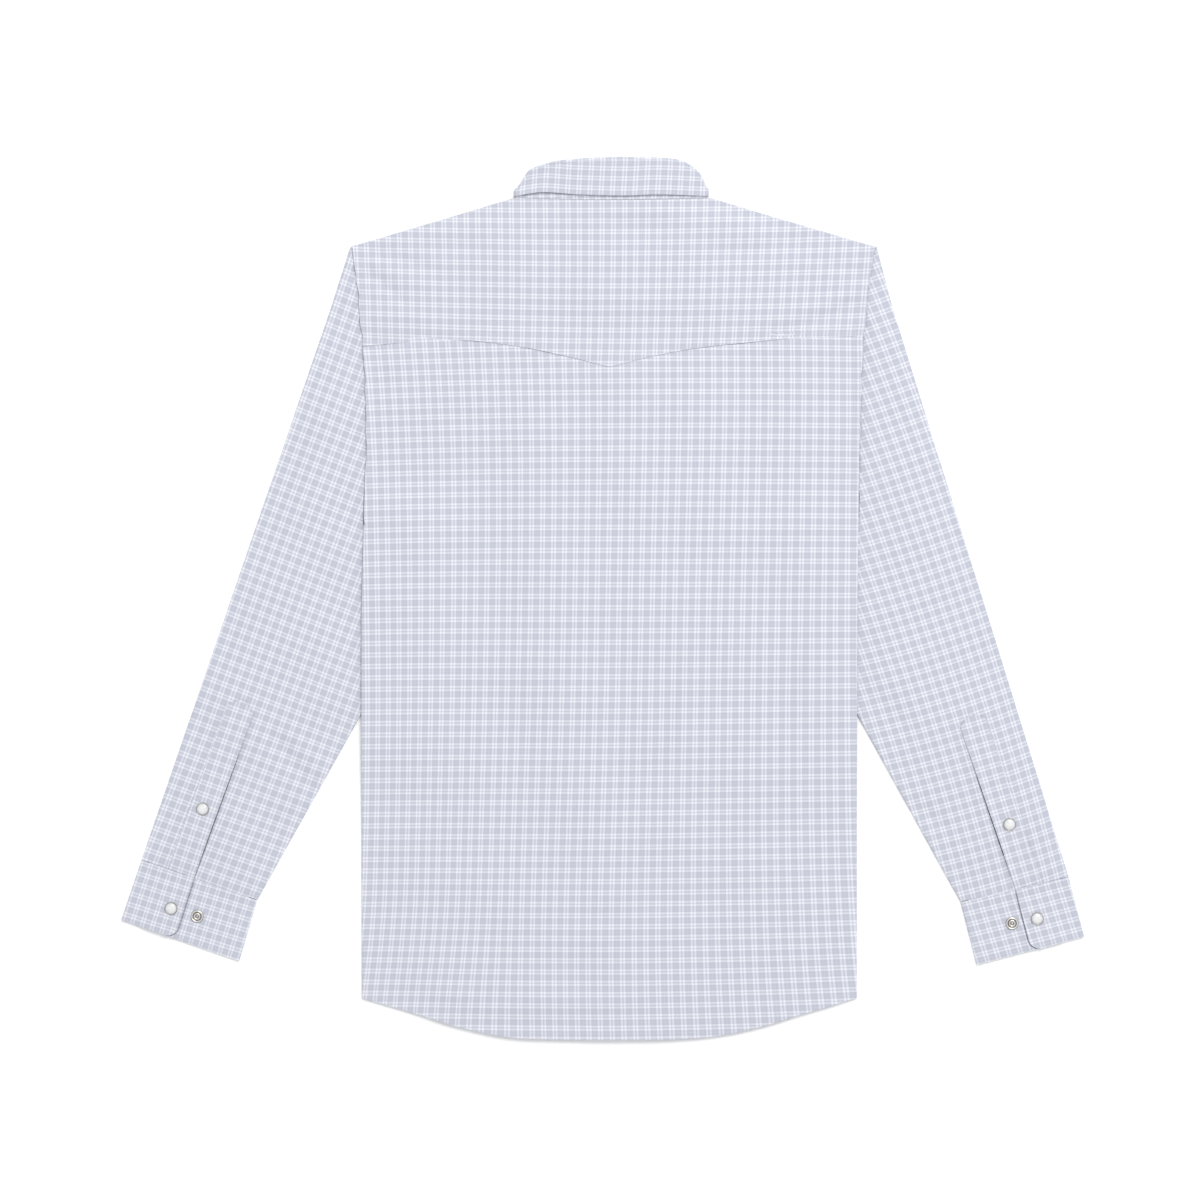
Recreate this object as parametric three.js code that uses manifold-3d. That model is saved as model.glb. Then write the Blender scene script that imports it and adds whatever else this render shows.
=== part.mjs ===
import * as THREE from 'three';
import { mergeVertices } from 'three/addons/utils/BufferGeometryUtils.js';
import Module from 'manifold-3d';

// A long-sleeved western snap shirt that lies face down with its back on top. Millimetres.
// x runs from the wearer's left to right, y from the hem to the collar, z up from the floor.

// Cloth walls and the way they are stacked
const clothThickness = 1.2;
const seamGap = 0.3;
const layerPitch = clothThickness + seamGap;
const foldRadius = layerPitch / 2;
const foldReach = foldRadius + clothThickness / 2;

// Body: half widths at heights above the lowest point of the hem
const bodyEdgeRows = [
  { y: 0, left: 227.7, right: 227.7 },
  { y: 290, left: 228.4, right: 227.7 },
  { y: 396, left: 228.2, right: 228.0 },
  { y: 505, left: 225.3, right: 229.4 },
  { y: 541, left: 223.8, right: 230.2 },
  { y: 590, left: 224.0, right: 231.2 },
  { y: 640, left: 227.0, right: 233.3 },
  { y: 689, left: 231.4, right: 237.8 },
  { y: 731, left: 237.0, right: 244.6 },
];
const hemRows = [
  { out: 0, y: 0 },
  { out: 75, y: 1.3 },
  { out: 110, y: 5.5 },
  { out: 142, y: 13 },
  { out: 178, y: 24 },
  { out: 206, y: 32 },
  { out: 228, y: 38.6 },
];
const yokeSeamRows = [
  { out: 0, left: 619.2, right: 619.2 },
  { out: 33, left: 627.4, right: 627.4 },
  { out: 75, left: 636.5, right: 635.8 },
  { out: 132, left: 643.8, right: 642.2 },
  { out: 172, left: 643.0, right: 645.8 },
  { out: 226, left: 638.5, right: 647.7 },
];
const armpitHeight = 505;
const wrapTop = 474;
const wrapRun = 7;
const sideSeamOut = 226;
const frontHemRise = 2;
const bodyHeights = [
  0, 60, 115, 170, 215, 250, 290, 330, 362, 396, 430, wrapTop, 490, armpitHeight, 541, 590,
];

// Shoulder folds run straight from the neck corners to the shoulder tips
const neckCornerHeight = 774.6;
const shoulderTipHeight = 730.5;
const yokeFrontDepth = 28;
const yokeSeamHeight = 643;
const yokeMiddleHeight = 690;
const frontShoulderHeight = 735;

// Neck and collar
const collarCentre = 1.8;
const collarCore = 86.9;
const backNeckHeight = 772.6;
const backNeckRise = 2.2;
const sideNeckHeight = 775;
const frontNeckHalf = 87.6;
const frontNeckDrop = 75;
const frontCollarHeight = 35;
const sideCollarHeight = 9.6;
const standShare = 0.7;
const backRoll = 1.6;
const backRollReach = 100;
const collarFoldRows = [
  { x: -86.9, y: 784 },
  { x: -81.4, y: 794.3 },
  { x: -73.1, y: 802.6 },
  { x: -51, y: 807.4 },
  { x: -20, y: 810.8 },
  { x: 4, y: 811.8 },
  { x: 50, y: 810.8 },
  { x: 64, y: 808.8 },
  { x: 77.8, y: 800.7 },
  { x: 84.2, y: 792 },
  { x: 86.9, y: 785 },
];
const collarEdgeRows = [
  { x: -86.9, y: 776.4 },
  { x: -64, y: 779.8 },
  { x: -32, y: 777.6 },
  { x: 13, y: 776.4 },
  { x: 43, y: 777.6 },
  { x: 86.9, y: 776.4 },
];
const collarPoint = { x: 72, y: 690 };
const collarFrontGap = 8;

// Snap band of the wearer's left front
const bandHalf = 19;
const bandRampStart = 22;
const bandRampEnd = 38;
const frontSnapCount = 7;
const frontSnapTop = 655;
const frontSnapBottom = 85;

// Snaps
const snapRadius = 5.9;
const snapHeight = 2.6;
const snapRim = 0.7;
const snapRimStep = 0.3;
const snapSeatGap = 0.4;
const studRadius = 5.5;
const flatSnapRadius = 5.8;
const snapHoleRadius = 6.2;

// What differs between the two sides
const sides = [
  {
    name: 'left',
    sign: -1,
    neckCorner: 88.8,
    shoulderTip: { x: -236.9, y: shoulderTipHeight },
    cuffOuterTop: { x: -430.6, y: 165.6 },
    cuffInnerTop: { x: -324.3, y: 128.8 },
    cuffInnerBottom: { x: -340.9, y: 72.7 },
    cuffOuterBottom: { x: -449.4, y: 110.4 },
    overlapShare: 0.4525,
    capSeat: { across: 0.353, down: 0.57 },
    studSeat: { across: 0.572, down: 0.6 },
    placketTop: { x: -327.4, y: 301.1 },
    placketSnapAlong: 62.7,
  },
  {
    name: 'right',
    sign: 1,
    neckCorner: 93.4,
    shoulderTip: { x: 243.3, y: shoulderTipHeight },
    cuffOuterTop: { x: 422.7, y: 150 },
    cuffInnerTop: { x: 323.4, y: 127 },
    cuffInnerBottom: { x: 338.1, y: 69 },
    cuffOuterBottom: { x: 437, y: 94.8 },
    overlapShare: 0.4935,
    capSeat: { across: 0.372, down: 0.53 },
    studSeat: { across: 0.6, down: 0.51 },
    placketTop: { x: 322.5, y: 288.1 },
    placketSnapAlong: 58.4,
  },
];

// Sleeves
const armholeGap = 0.4;
const tuckedDepth = 35;
const sleeveMouth = 300;
const sleeveLoft = 1.6;
const sleeveRows = [
  { inner: armpitHeight, outer: 0 },
  { inner: 490, outer: 0.1 },
  { inner: wrapTop, outer: 0.2 },
  { inner: 452, outer: 0.3 },
  { inner: 430, outer: 0.38 },
  { inner: 396, outer: 0.46 },
  { inner: 362, outer: 0.53 },
  { inner: 331, outer: 0.6 },
  { inner: sleeveMouth, outer: 0.66 },
  { inner: 265, outer: 0.72 },
  { inner: 230, outer: 0.79 },
  { inner: 200, outer: 0.85 },
  { inner: 165, outer: 0.92 },
  { inner: 0, outer: 1 },
];
const tuckRows = [
  { y: 362, inset: tuckedDepth },
  { y: 396, inset: tuckedDepth },
  { y: 430, inset: 30 },
  { y: 452, inset: 14 },
  { y: wrapTop, inset: -seamGap },
  { y: armpitHeight, inset: -seamGap },
];
const outerHeights = [shoulderTipHeight, 710, 689, 672, 656];
const innerHeights = [615, 590, 565, 541, 523, armpitHeight];
const bottomHeights = [armpitHeight, 541, 590, 640, 689, shoulderTipHeight];
const slitBehindEdge = 9;
const slitHalfWidth = 0.5;
const slitFirstRow = 10;
const slitHeight = 640;
const placketWidth = 25;
const placketTip = 8.5;
const placketSnapAcross = 13.8;
const cuffCorner = 10;
const underlapReach = 8;
const overlapRamp = { far: 0.31, near: 0.11 };

// Lift of the back over the front, so that the wall lies in a soft crown
const backLoft = 3.1;
const crownReach = 240;
const crownPower = 2.2;
const crownShoulderRun = 45;

// Stretches over which the body rises onto the tucked sleeves and onto the front of the collar
const sleeveLift = { lowY: 215, fullY: 285, fadeY: 476, fullInset: 40, noInset: 75 };
const collarLift = { lowY: 655, fullY: 688, fullOut: 100, noOut: 140 };

const { lerp, clamp, smoothstep } = THREE.MathUtils;
const layerHeight = (layer) => clothThickness / 2 + layer * layerPitch;
const easeUp = (from, to, value) => smoothstep(value, from, to);
const between = (start, end, share) => ({
  x: lerp(start.x, end.x, share),
  y: lerp(start.y, end.y, share),
});

// Smooth curve through the rows of a table
function readTable(rows, key, name, at) {
  const last = rows.length - 1;
  let index = 0;
  while (index < last - 1 && at > rows[index + 1][key]) index += 1;
  const slopeAt = (row) => {
    const before = rows[Math.max(row - 1, 0)];
    const after = rows[Math.min(row + 1, last)];
    return (after[name] - before[name]) / (after[key] - before[key]);
  };
  const start = rows[index];
  const end = rows[index + 1];
  const span = end[key] - start[key];
  const t = clamp((at - start[key]) / span, 0, 1);
  const rise = t * t * (3 - 2 * t);
  const startPull = t * (1 - t) * (1 - t) * span * slopeAt(index);
  const endPull = t * t * (t - 1) * span * slopeAt(index + 1);
  return lerp(start[name], end[name], rise) + startPull + endPull;
}

// Closed wall of even thickness round a grid of middle points. Cells that isCloth leaves out stay open.
function clothWall({ columns, rows, pointAt, isRing = false, isCloth = () => true }) {
  const across = isRing ? columns : columns + 1;
  const middle = [];
  for (let row = 0; row <= rows; row += 1) {
    for (let column = 0; column < across; column += 1) middle.push(pointAt(column, row));
  }
  const indexOf = (column, row) => row * across + (isRing ? (column + across) % across : column);
  const middleAt = (column, row) => {
    const nearColumn = isRing ? column : clamp(column, 0, columns);
    return middle[indexOf(nearColumn, clamp(row, 0, rows))];
  };
  const positions = [];
  for (const faceSide of [1, -1]) {
    for (let row = 0; row <= rows; row += 1) {
      for (let column = 0; column < across; column += 1) {
        const acrossStep = middleAt(column + 1, row).clone().sub(middleAt(column - 1, row));
        const upStep = middleAt(column, row + 1).clone().sub(middleAt(column, row - 1));
        const offset = acrossStep.cross(upStep).setLength((faceSide * clothThickness) / 2);
        const point = middleAt(column, row).clone().add(offset);
        positions.push(point.x, point.y, point.z);
      }
    }
  }
  const innerStart = middle.length;
  const indices = [];
  const hasCell = (column, row) => {
    if (row < 0 || row >= rows) return false;
    if (isRing) return isCloth((column + columns) % columns, row);
    return column >= 0 && column < columns && isCloth(column, row);
  };
  for (let row = 0; row < rows; row += 1) {
    for (let column = 0; column < columns; column += 1) {
      if (!hasCell(column, row)) continue;
      const a = indexOf(column, row);
      const b = indexOf(column + 1, row);
      const c = indexOf(column + 1, row + 1);
      const d = indexOf(column, row + 1);
      indices.push(a, b, c, a, c, d);
      indices.push(innerStart + a, innerStart + c, innerStart + b);
      indices.push(innerStart + a, innerStart + d, innerStart + c);
      const borders = [
        { from: a, to: b, isOpen: !hasCell(column, row - 1) },
        { from: b, to: c, isOpen: !hasCell(column + 1, row) },
        { from: c, to: d, isOpen: !hasCell(column, row + 1) },
        { from: d, to: a, isOpen: !hasCell(column - 1, row) },
      ];
      for (const { from, to, isOpen } of borders) {
        if (!isOpen) continue;
        indices.push(from, innerStart + from, innerStart + to);
        indices.push(from, innerStart + to, to);
      }
    }
  }
  return dropUnused(positions, indices);
}

function dropUnused(positions, indices) {
  const newIndex = new Map();
  const kept = [];
  const renumbered = indices.map((index) => {
    if (!newIndex.has(index)) {
      newIndex.set(index, newIndex.size);
      kept.push(...positions.slice(index * 3, index * 3 + 3));
    }
    return newIndex.get(index);
  });
  const geometry = new THREE.BufferGeometry();
  geometry.setAttribute('position', new THREE.Float32BufferAttribute(kept, 3));
  geometry.setIndex(renumbered);
  return geometry;
}

// Body outline
const sideOf = (x) => (x < 0 ? sides[0] : sides[1]);

// The side edges run straight from row to row, so that every piece that meets them turns at the same heights
function bodyHalfAt(side, y) {
  const next = Math.max(bodyEdgeRows.findIndex((row) => row.y >= y), 1);
  const upper = bodyEdgeRows[Math.min(next, bodyEdgeRows.length - 1)];
  const lower = bodyEdgeRows[Math.min(next, bodyEdgeRows.length - 1) - 1];
  return lerp(lower[side.name], upper[side.name], (y - lower.y) / (upper.y - lower.y));
}

const hemAt = (x) => readTable(hemRows, 'out', 'y', Math.abs(x));
const yokeSeamAt = (x) => readTable(yokeSeamRows, 'out', sideOf(x).name, Math.abs(x));

function shoulderAt(x) {
  const side = sideOf(x);
  const fall = (neckCornerHeight - shoulderTipHeight) / (Math.abs(side.shoulderTip.x) - side.neckCorner);
  return neckCornerHeight - (Math.abs(x) - side.neckCorner) * fall;
}

const neckShare = (x, half) => Math.min(Math.abs(x - collarCentre) / half, 1);
const backNeckAt = (x) => backNeckHeight + backNeckRise * neckShare(x, frontNeckHalf) ** 2;
const frontNeckAt = (x) => sideNeckHeight - frontNeckDrop * (1 - neckShare(x, frontNeckHalf) ** 2);

// Half width of the front neckline where it meets a line that runs below the shoulder fold
function frontNeckHalfBelowShoulder(distance) {
  let half = frontNeckHalf;
  for (let round = 0; round < 6; round += 1) {
    const depth = (sideNeckHeight - shoulderAt(half) + distance) / frontNeckDrop;
    half = frontNeckHalf * Math.sqrt(1 - clamp(depth, 0, 1));
  }
  return half + seamGap;
}

// How far the layers rise over what lies under them
function sleeveRise(x, y) {
  const inset = bodyHalfAt(sideOf(x), y) - Math.abs(x);
  const { lowY, fullY, fadeY, fullInset, noInset } = sleeveLift;
  const along = easeUp(lowY, fullY, y) * (1 - easeUp(fadeY, armpitHeight, y));
  return 2 * layerPitch * along * (1 - easeUp(fullInset, noInset, inset));
}

function collarRise(x, y) {
  const { lowY, fullY, fullOut, noOut } = collarLift;
  return layerPitch * easeUp(lowY, fullY, y) * (1 - easeUp(fullOut, noOut, Math.abs(x)));
}

const bandRise = (x) => layerPitch * (1 - easeUp(bandRampStart, bandRampEnd, Math.abs(x)));
const frontBaseAt = (x, y) => layerHeight(0) + sleeveRise(x, y) + collarRise(x, y);
const frontLeftAt = (x, y) => frontBaseAt(x, y) + bandRise(x);
const frontRightAt = (x, y) => frontBaseAt(x, y) + 2 * bandRise(x);

function backAt(x, y) {
  const crown = backLoft * (1 - (Math.abs(x) / crownReach) ** crownPower);
  const shoulderFade = easeUp(0, crownShoulderRun, shoulderAt(x) - y);
  return layerHeight(1) + sleeveRise(x, y) + collarRise(x, y) + crown * shoulderFade;
}

// Columns across the body: from the left edge to the neck corner, over the centre, to the right edge
const edgeShares = [0, 0.27, 0.54, 0.77];
const centreCells = 5;

function bodyColumnXs(leftHalf, rightHalf, leftCorner, rightCorner) {
  const xs = edgeShares.map((share) => -lerp(leftHalf, leftCorner, share));
  for (let cell = 0; cell <= centreCells; cell += 1) xs.push(-leftCorner * (1 - cell / centreCells));
  for (let cell = 1; cell <= centreCells; cell += 1) xs.push((rightCorner * cell) / centreCells);
  const rightXs = edgeShares.map((share) => lerp(rightHalf, rightCorner, share));
  return xs.concat(rightXs.reverse());
}

// Angles inside a half-turn fold, from the top layer down to the lower one
const foldSteps = [0.5, 0, -0.5].map((turn) => (turn * Math.PI) / 1.5);

function makeBack() {
  const [left, right] = sides;
  const rows = bodyHeights.length;
  const wrapRow = bodyHeights.indexOf(wrapTop);
  const coreCells = 2 * (edgeShares.length + centreCells);
  const wrapCells = foldSteps.length + 2;
  const columns = coreCells + 2 * wrapCells;
  const heightFor = (x, row) => {
    if (row === 0) return hemAt(x);
    if (row === rows) return yokeSeamAt(x) - seamGap;
    return bodyHeights[row];
  };
  const pointAt = (column, row) => {
    const coreColumn = clamp(column - wrapCells, 0, coreCells);
    const inset = row <= wrapRow ? foldReach : 0;
    const leftHalf = bodyHalfAt(left, heightFor(-sideSeamOut, row)) - inset;
    const rightHalf = bodyHalfAt(right, heightFor(sideSeamOut, row)) - inset;
    const xs = bodyColumnXs(leftHalf, rightHalf, left.neckCorner, right.neckCorner);
    const x = xs[coreColumn];
    const y = heightFor(x, row);
    const z = backAt(x, y);
    const beyond = column < wrapCells ? wrapCells - column : column - wrapCells - coreCells;
    if (beyond <= 0) return new THREE.Vector3(x, y, z);
    const outward = Math.sign(x);
    if (row > wrapRow) return new THREE.Vector3(x + outward * beyond * 0.5, y, z);
    if (beyond <= foldSteps.length) {
      const angle = foldSteps[beyond - 1];
      const foldX = x + outward * foldRadius * Math.cos(angle);
      return new THREE.Vector3(foldX, y, z - foldRadius + foldRadius * Math.sin(angle));
    }
    const run = (beyond - foldSteps.length - 1) * wrapRun;
    const lowerX = x - outward * run;
    return new THREE.Vector3(lowerX, y, frontBaseAt(lowerX, y));
  };
  const isCloth = (column, row) => {
    const isCore = column >= wrapCells && column < wrapCells + coreCells;
    return isCore || row < wrapRow;
  };
  return clothWall({ columns, rows, pointAt, isCloth });
}

function makeBackYoke() {
  const [left, right] = sides;
  const backRows = 6;
  const frontRows = 2;
  const rows = backRows + foldSteps.length + 1 + frontRows;
  const columns = 2 * (edgeShares.length + centreCells);
  const neckStart = edgeShares.length;
  const neckEnd = columns - edgeShares.length;
  const isNeck = (column) => column > neckStart && column < neckEnd;
  const columnX = (column, y, leftCorner, rightCorner) => {
    return bodyColumnXs(bodyHalfAt(left, y), bodyHalfAt(right, y), leftCorner, rightCorner)[column];
  };
  const pointAt = (column, row) => {
    const guessX = columnX(column, yokeMiddleHeight, left.neckCorner, right.neckCorner);
    const top = isNeck(column) ? backNeckAt(guessX) : shoulderAt(guessX) - foldReach;
    const seamX = columnX(column, yokeSeamHeight, left.neckCorner, right.neckCorner);
    const y = lerp(yokeSeamAt(seamX), top, Math.min(row / backRows, 1));
    const x = columnX(column, y, left.neckCorner, right.neckCorner);
    if (row <= backRows) return new THREE.Vector3(x, y, backAt(x, y));
    const beyond = row - backRows;
    if (isNeck(column)) return new THREE.Vector3(x, y + beyond, backAt(x, y));
    if (beyond <= foldSteps.length) {
      const angle = foldSteps[beyond - 1];
      const foldZ = backAt(x, y) - foldRadius + foldRadius * Math.sin(angle);
      return new THREE.Vector3(x, y + foldRadius * Math.cos(angle), foldZ);
    }
    const run = ((beyond - foldSteps.length - 1) * yokeFrontDepth) / frontRows;
    if (run === 0) return new THREE.Vector3(x, y, frontBaseAt(x, y));
    const neckHalf = frontNeckHalfBelowShoulder(foldReach + run);
    const lowerX = columnX(column, y - run, neckHalf - collarCentre, neckHalf + collarCentre);
    const lowerY = shoulderAt(lowerX) - foldReach - run;
    return new THREE.Vector3(lowerX, lowerY, frontBaseAt(lowerX, lowerY));
  };
  const isCloth = (column, row) => row < backRows || column < neckStart || column >= neckEnd;
  return clothWall({ columns, rows, pointAt, isCloth });
}

// Columns of a front, as distances from the centre towards its own side
const frontColumns = [188, 153, 112, 72, 56, 40, 31, bandRampStart, 8, -6, -bandHalf];

function frontTopAt(x) {
  return Math.min(frontNeckAt(x), shoulderAt(x) - foldReach - yokeFrontDepth) - seamGap;
}

function makeFront(side, surfaceAt) {
  const heights = [...bodyHeights, 640, 655, 672, 689];
  const rows = heights.length;
  const columns = frontColumns.length;
  const pointAt = (column, row) => {
    const level = row === rows ? frontShoulderHeight : heights[row];
    const inset = level <= wrapTop ? foldReach + wrapRun + seamGap : 0;
    const out = column === 0 ? bodyHalfAt(side, level) - inset : frontColumns[column - 1];
    const x = side.sign * out;
    let y = level;
    if (row === 0) y = hemAt(x) + frontHemRise;
    if (row === rows) y = frontTopAt(x);
    return new THREE.Vector3(x, y, surfaceAt(x, y));
  };
  // Columns run inwards, so the wearer's right front is read the other way round
  const ordered = (column, row) => pointAt(side.sign < 0 ? column : columns - column, row);
  return clothWall({ columns, rows, pointAt: ordered });
}

const frontSnapHeights = Array.from({ length: frontSnapCount }, (_, index) =>
  lerp(frontSnapTop, frontSnapBottom, index / (frontSnapCount - 1)),
);

function makeFrontBand(wasm) {
  const columns = 2;
  const heights = [0, 655, 672, 689, 700];
  const pointAt = (column, row) => {
    const x = lerp(-bandHalf, bandHalf, column / columns);
    const isTop = row === heights.length - 1;
    const y = isTop ? frontTopAt(x) : row === 0 ? hemAt(x) + frontHemRise : heights[row];
    return new THREE.Vector3(x, y, frontBaseAt(x, y));
  };
  const band = clothWall({ columns, rows: heights.length - 1, pointAt });
  const drill = new THREE.CylinderGeometry(snapHoleRadius, snapHoleRadius, 4 * clothThickness, 14);
  drill.rotateX(Math.PI / 2);
  let solid = toManifold(wasm, band);
  for (const y of frontSnapHeights) solid = solid.subtract(toManifold(wasm, drill).translate(0, y, 0));
  return fromManifold(solid);
}

function toManifold(wasm, geometry) {
  const bare = geometry.clone();
  bare.deleteAttribute('normal');
  bare.deleteAttribute('uv');
  const merged = mergeVertices(bare);
  return new wasm.Manifold(
    new wasm.Mesh({
      numProp: 3,
      vertProperties: new Float32Array(merged.attributes.position.array),
      triVerts: new Uint32Array(merged.index.array),
    }),
  );
}

function fromManifold(solid) {
  const mesh = solid.getMesh();
  const geometry = new THREE.BufferGeometry();
  geometry.setAttribute('position', new THREE.BufferAttribute(mesh.vertProperties, 3));
  geometry.setIndex(new THREE.BufferAttribute(mesh.triVerts, 1));
  return geometry;
}

// Collar: stations of a flattened loop, from one front end over the back to the other end
const collarBackXs = [-84, -79, -72, -60, -45, -25, 0, 25, 45, 60, 70, 78, 84];
const collarFrontXs = [80, 72, 56, 40, 31, bandRampStart];

function collarStations(leftEnds, rightEnds) {
  const stations = [];
  const addFront = (x, side) => {
    const rise = side.sign < 0 ? bandRise(x) : 2 * bandRise(x);
    stations.push({ x, z: layerHeight(1) + rise, nx: 0, nz: -1, part: 'front', side });
  };
  const backHeight = (x) => backAt(x, backNeckAt(x));
  const addFold = (side, angles) => {
    for (const angle of angles) {
      const nx = side.sign * Math.cos(angle);
      const nz = Math.sin(angle);
      const x = collarCentre + side.sign * collarCore + nx * foldRadius;
      stations.push({ x, z: layerHeight(1) + foldRadius * (1 + nz), nx, nz, part: 'fold', side });
    }
  };
  const [left, right] = sides;
  for (const x of leftEnds) addFront(x, left);
  for (const out of [...collarFrontXs].reverse()) addFront(-out, left);
  addFront(collarCentre - collarCore, left);
  addFold(left, [...foldSteps].reverse());
  for (const out of [-collarCore, ...collarBackXs, collarCore]) {
    const x = collarCentre + out;
    stations.push({ x, z: backHeight(x), nx: 0, nz: 1, part: 'back', side: sideOf(out) });
  }
  addFold(right, foldSteps);
  addFront(collarCentre + collarCore, right);
  for (const out of collarFrontXs) addFront(out, right);
  for (const x of rightEnds) addFront(x, right);
  return stations;
}

function collarHeights(station) {
  const out = clamp(station.x - collarCentre, -collarCore, collarCore);
  if (station.part === 'back') {
    const seam = backNeckAt(station.x) + seamGap;
    return { seam, fold: readTable(collarFoldRows, 'x', 'y', out) };
  }
  if (station.part === 'fold') {
    return { seam: sideNeckHeight + seamGap, fold: readTable(collarFoldRows, 'x', 'y', out) };
  }
  const share = neckShare(station.x, frontNeckHalf) ** 2;
  const seam = frontNeckAt(station.x) + 2 * seamGap;
  return { seam, fold: seam + lerp(frontCollarHeight, sideCollarHeight, share) };
}

function makeCollarStand() {
  const stations = collarStations([bandHalf, 6, -collarFrontGap], [collarFrontGap, -6, -bandHalf]);
  const rows = 3;
  const pointAt = (column, row) => {
    const station = stations[column];
    const { seam, fold } = collarHeights(station);
    const y = lerp(seam, lerp(seam, fold, standShare), row / rows);
    return new THREE.Vector3(station.x, y, station.z);
  };
  return clothWall({ columns: stations.length - 1, rows, pointAt });
}

function makeCollarFall() {
  const stations = collarStations([-collarFrontGap], [collarFrontGap]);
  const rollSteps = [0.25, 0.5, 0.75].map((turn) => turn * Math.PI);
  const outerRows = 3;
  const rows = 2 + rollSteps.length + outerRows;
  const firstBack = stations.findIndex((station) => station.part === 'back');
  const foldCount = foldSteps.length;
  const frontCount = firstBack - foldCount;
  const outerEdge = (station, column) => {
    const out = clamp(station.x - collarCentre, -collarCore, collarCore);
    if (station.part !== 'front') return { x: station.x, y: readTable(collarEdgeRows, 'x', 'y', out) };
    const fromEnd = Math.min(column, stations.length - 1 - column);
    const toPoint = 1 - fromEnd / (frontCount - 1);
    const sideX = collarCore * station.side.sign;
    return {
      x: collarCentre + lerp(sideX, station.side.sign * collarPoint.x, toPoint),
      y: lerp(sideNeckHeight + 1, collarPoint.y, toPoint),
    };
  };
  const pointAt = (column, row) => {
    const station = stations[column];
    const { seam, fold } = collarHeights(station);
    const isFront = station.part === 'front';
    const lift = isFront ? station.z - layerHeight(0) : layerPitch;
    const fullRoll = station.part === 'back' ? backRoll * (1 - Math.abs(station.x / backRollReach) ** 3) : 0;
    const roll = Math.max(fullRoll, lift / 2);
    const start = lerp(seam, fold, standShare) + 3 * seamGap;
    const rollY = fold - roll;
    let y = row === 0 ? start : rollY;
    let x = station.x;
    let offset = 0;
    if (row > 1) {
      const angle = row - 2 < rollSteps.length ? rollSteps[row - 2] : Math.PI;
      offset = roll * (1 - Math.cos(angle));
      y = rollY + roll * Math.sin(angle);
    }
    const outerRow = row - 1 - rollSteps.length;
    if (outerRow >= 1) {
      const share = (outerRow - 1) / outerRows;
      const edge = outerEdge(station, column);
      x = lerp(station.x, edge.x, share);
      y = lerp(rollY, edge.y, share);
      offset = lerp(2 * roll, lift, share);
    }
    return new THREE.Vector3(x + station.nx * offset, y, station.z + station.nz * offset);
  };
  return clothWall({ columns: stations.length - 1, rows, pointAt });
}

// Sleeves: flattened tubes between an outer fold and an inner fold
function outerFoldAt(side, share) {
  return between(side.shoulderTip, side.cuffOuterTop, share);
}

function innerFoldAt(side, y) {
  const edge = bodyHalfAt(side, y);
  if (y > tuckRows[0].y) {
    const row = tuckRows.find((candidate) => candidate.y >= y);
    return { x: side.sign * (edge - row.inset), y };
  }
  const mouth = { x: side.sign * bodyHalfAt(side, sleeveMouth), y: sleeveMouth };
  const wrist = side.cuffInnerTop;
  return between(wrist, mouth, (y - wrist.y) / (mouth.y - wrist.y));
}

// Unit direction square to a line, on the side of the given sign
function squareTo(start, end, sign) {
  const length = Math.hypot(end.x - start.x, end.y - start.y);
  return { x: (-sign * (end.y - start.y)) / length, y: (sign * (end.x - start.x)) / length };
}

// Share of the way along one line at which another line crosses it
function crossingShare(start, end, lineStart, lineEnd) {
  const lineX = lineEnd.x - lineStart.x;
  const lineY = lineEnd.y - lineStart.y;
  const gap = (lineStart.x - start.x) * lineY - (lineStart.y - start.y) * lineX;
  return gap / ((end.x - start.x) * lineY - (end.y - start.y) * lineX);
}

function distanceTo(point, start, end) {
  const square = squareTo(start, end, 1);
  return Math.abs((point.x - start.x) * square.x + (point.y - start.y) * square.y);
}

// Top layer of a sleeve: it lofts between its folds, and lies flat beside and under the body
function sleeveTopAt(side, point) {
  const fromOuter = distanceTo(point, side.shoulderTip, side.cuffOuterTop);
  const mouth = { x: side.sign * bodyHalfAt(side, sleeveMouth), y: sleeveMouth };
  const fromBody = Math.abs(point.x) - bodyHalfAt(side, clamp(point.y, 0, shoulderTipHeight));
  const fromInner = point.y > sleeveMouth ? fromBody : distanceTo(point, side.cuffInnerTop, mouth);
  const fromCuff = distanceTo(point, side.cuffOuterTop, side.cuffInnerTop);
  const loft = easeUp(0, 40, fromOuter) * easeUp(2, 45, fromInner) * easeUp(0, 40, fromCuff);
  return layerHeight(1) + sleeveLoft * loft;
}

function placketEdges(side) {
  const bottom = between(side.cuffOuterTop, side.cuffInnerTop, side.overlapShare);
  const outward = squareTo(bottom, side.placketTop, -side.sign);
  const length = Math.hypot(side.placketTop.x - bottom.x, side.placketTop.y - bottom.y);
  const along = { x: (side.placketTop.x - bottom.x) / length, y: (side.placketTop.y - bottom.y) / length };
  const pointAt = (upBy, acrossBy) => ({
    x: bottom.x + along.x * upBy + outward.x * acrossBy,
    y: bottom.y + along.y * upBy + outward.y * acrossBy,
  });
  return { length, pointAt };
}

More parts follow.
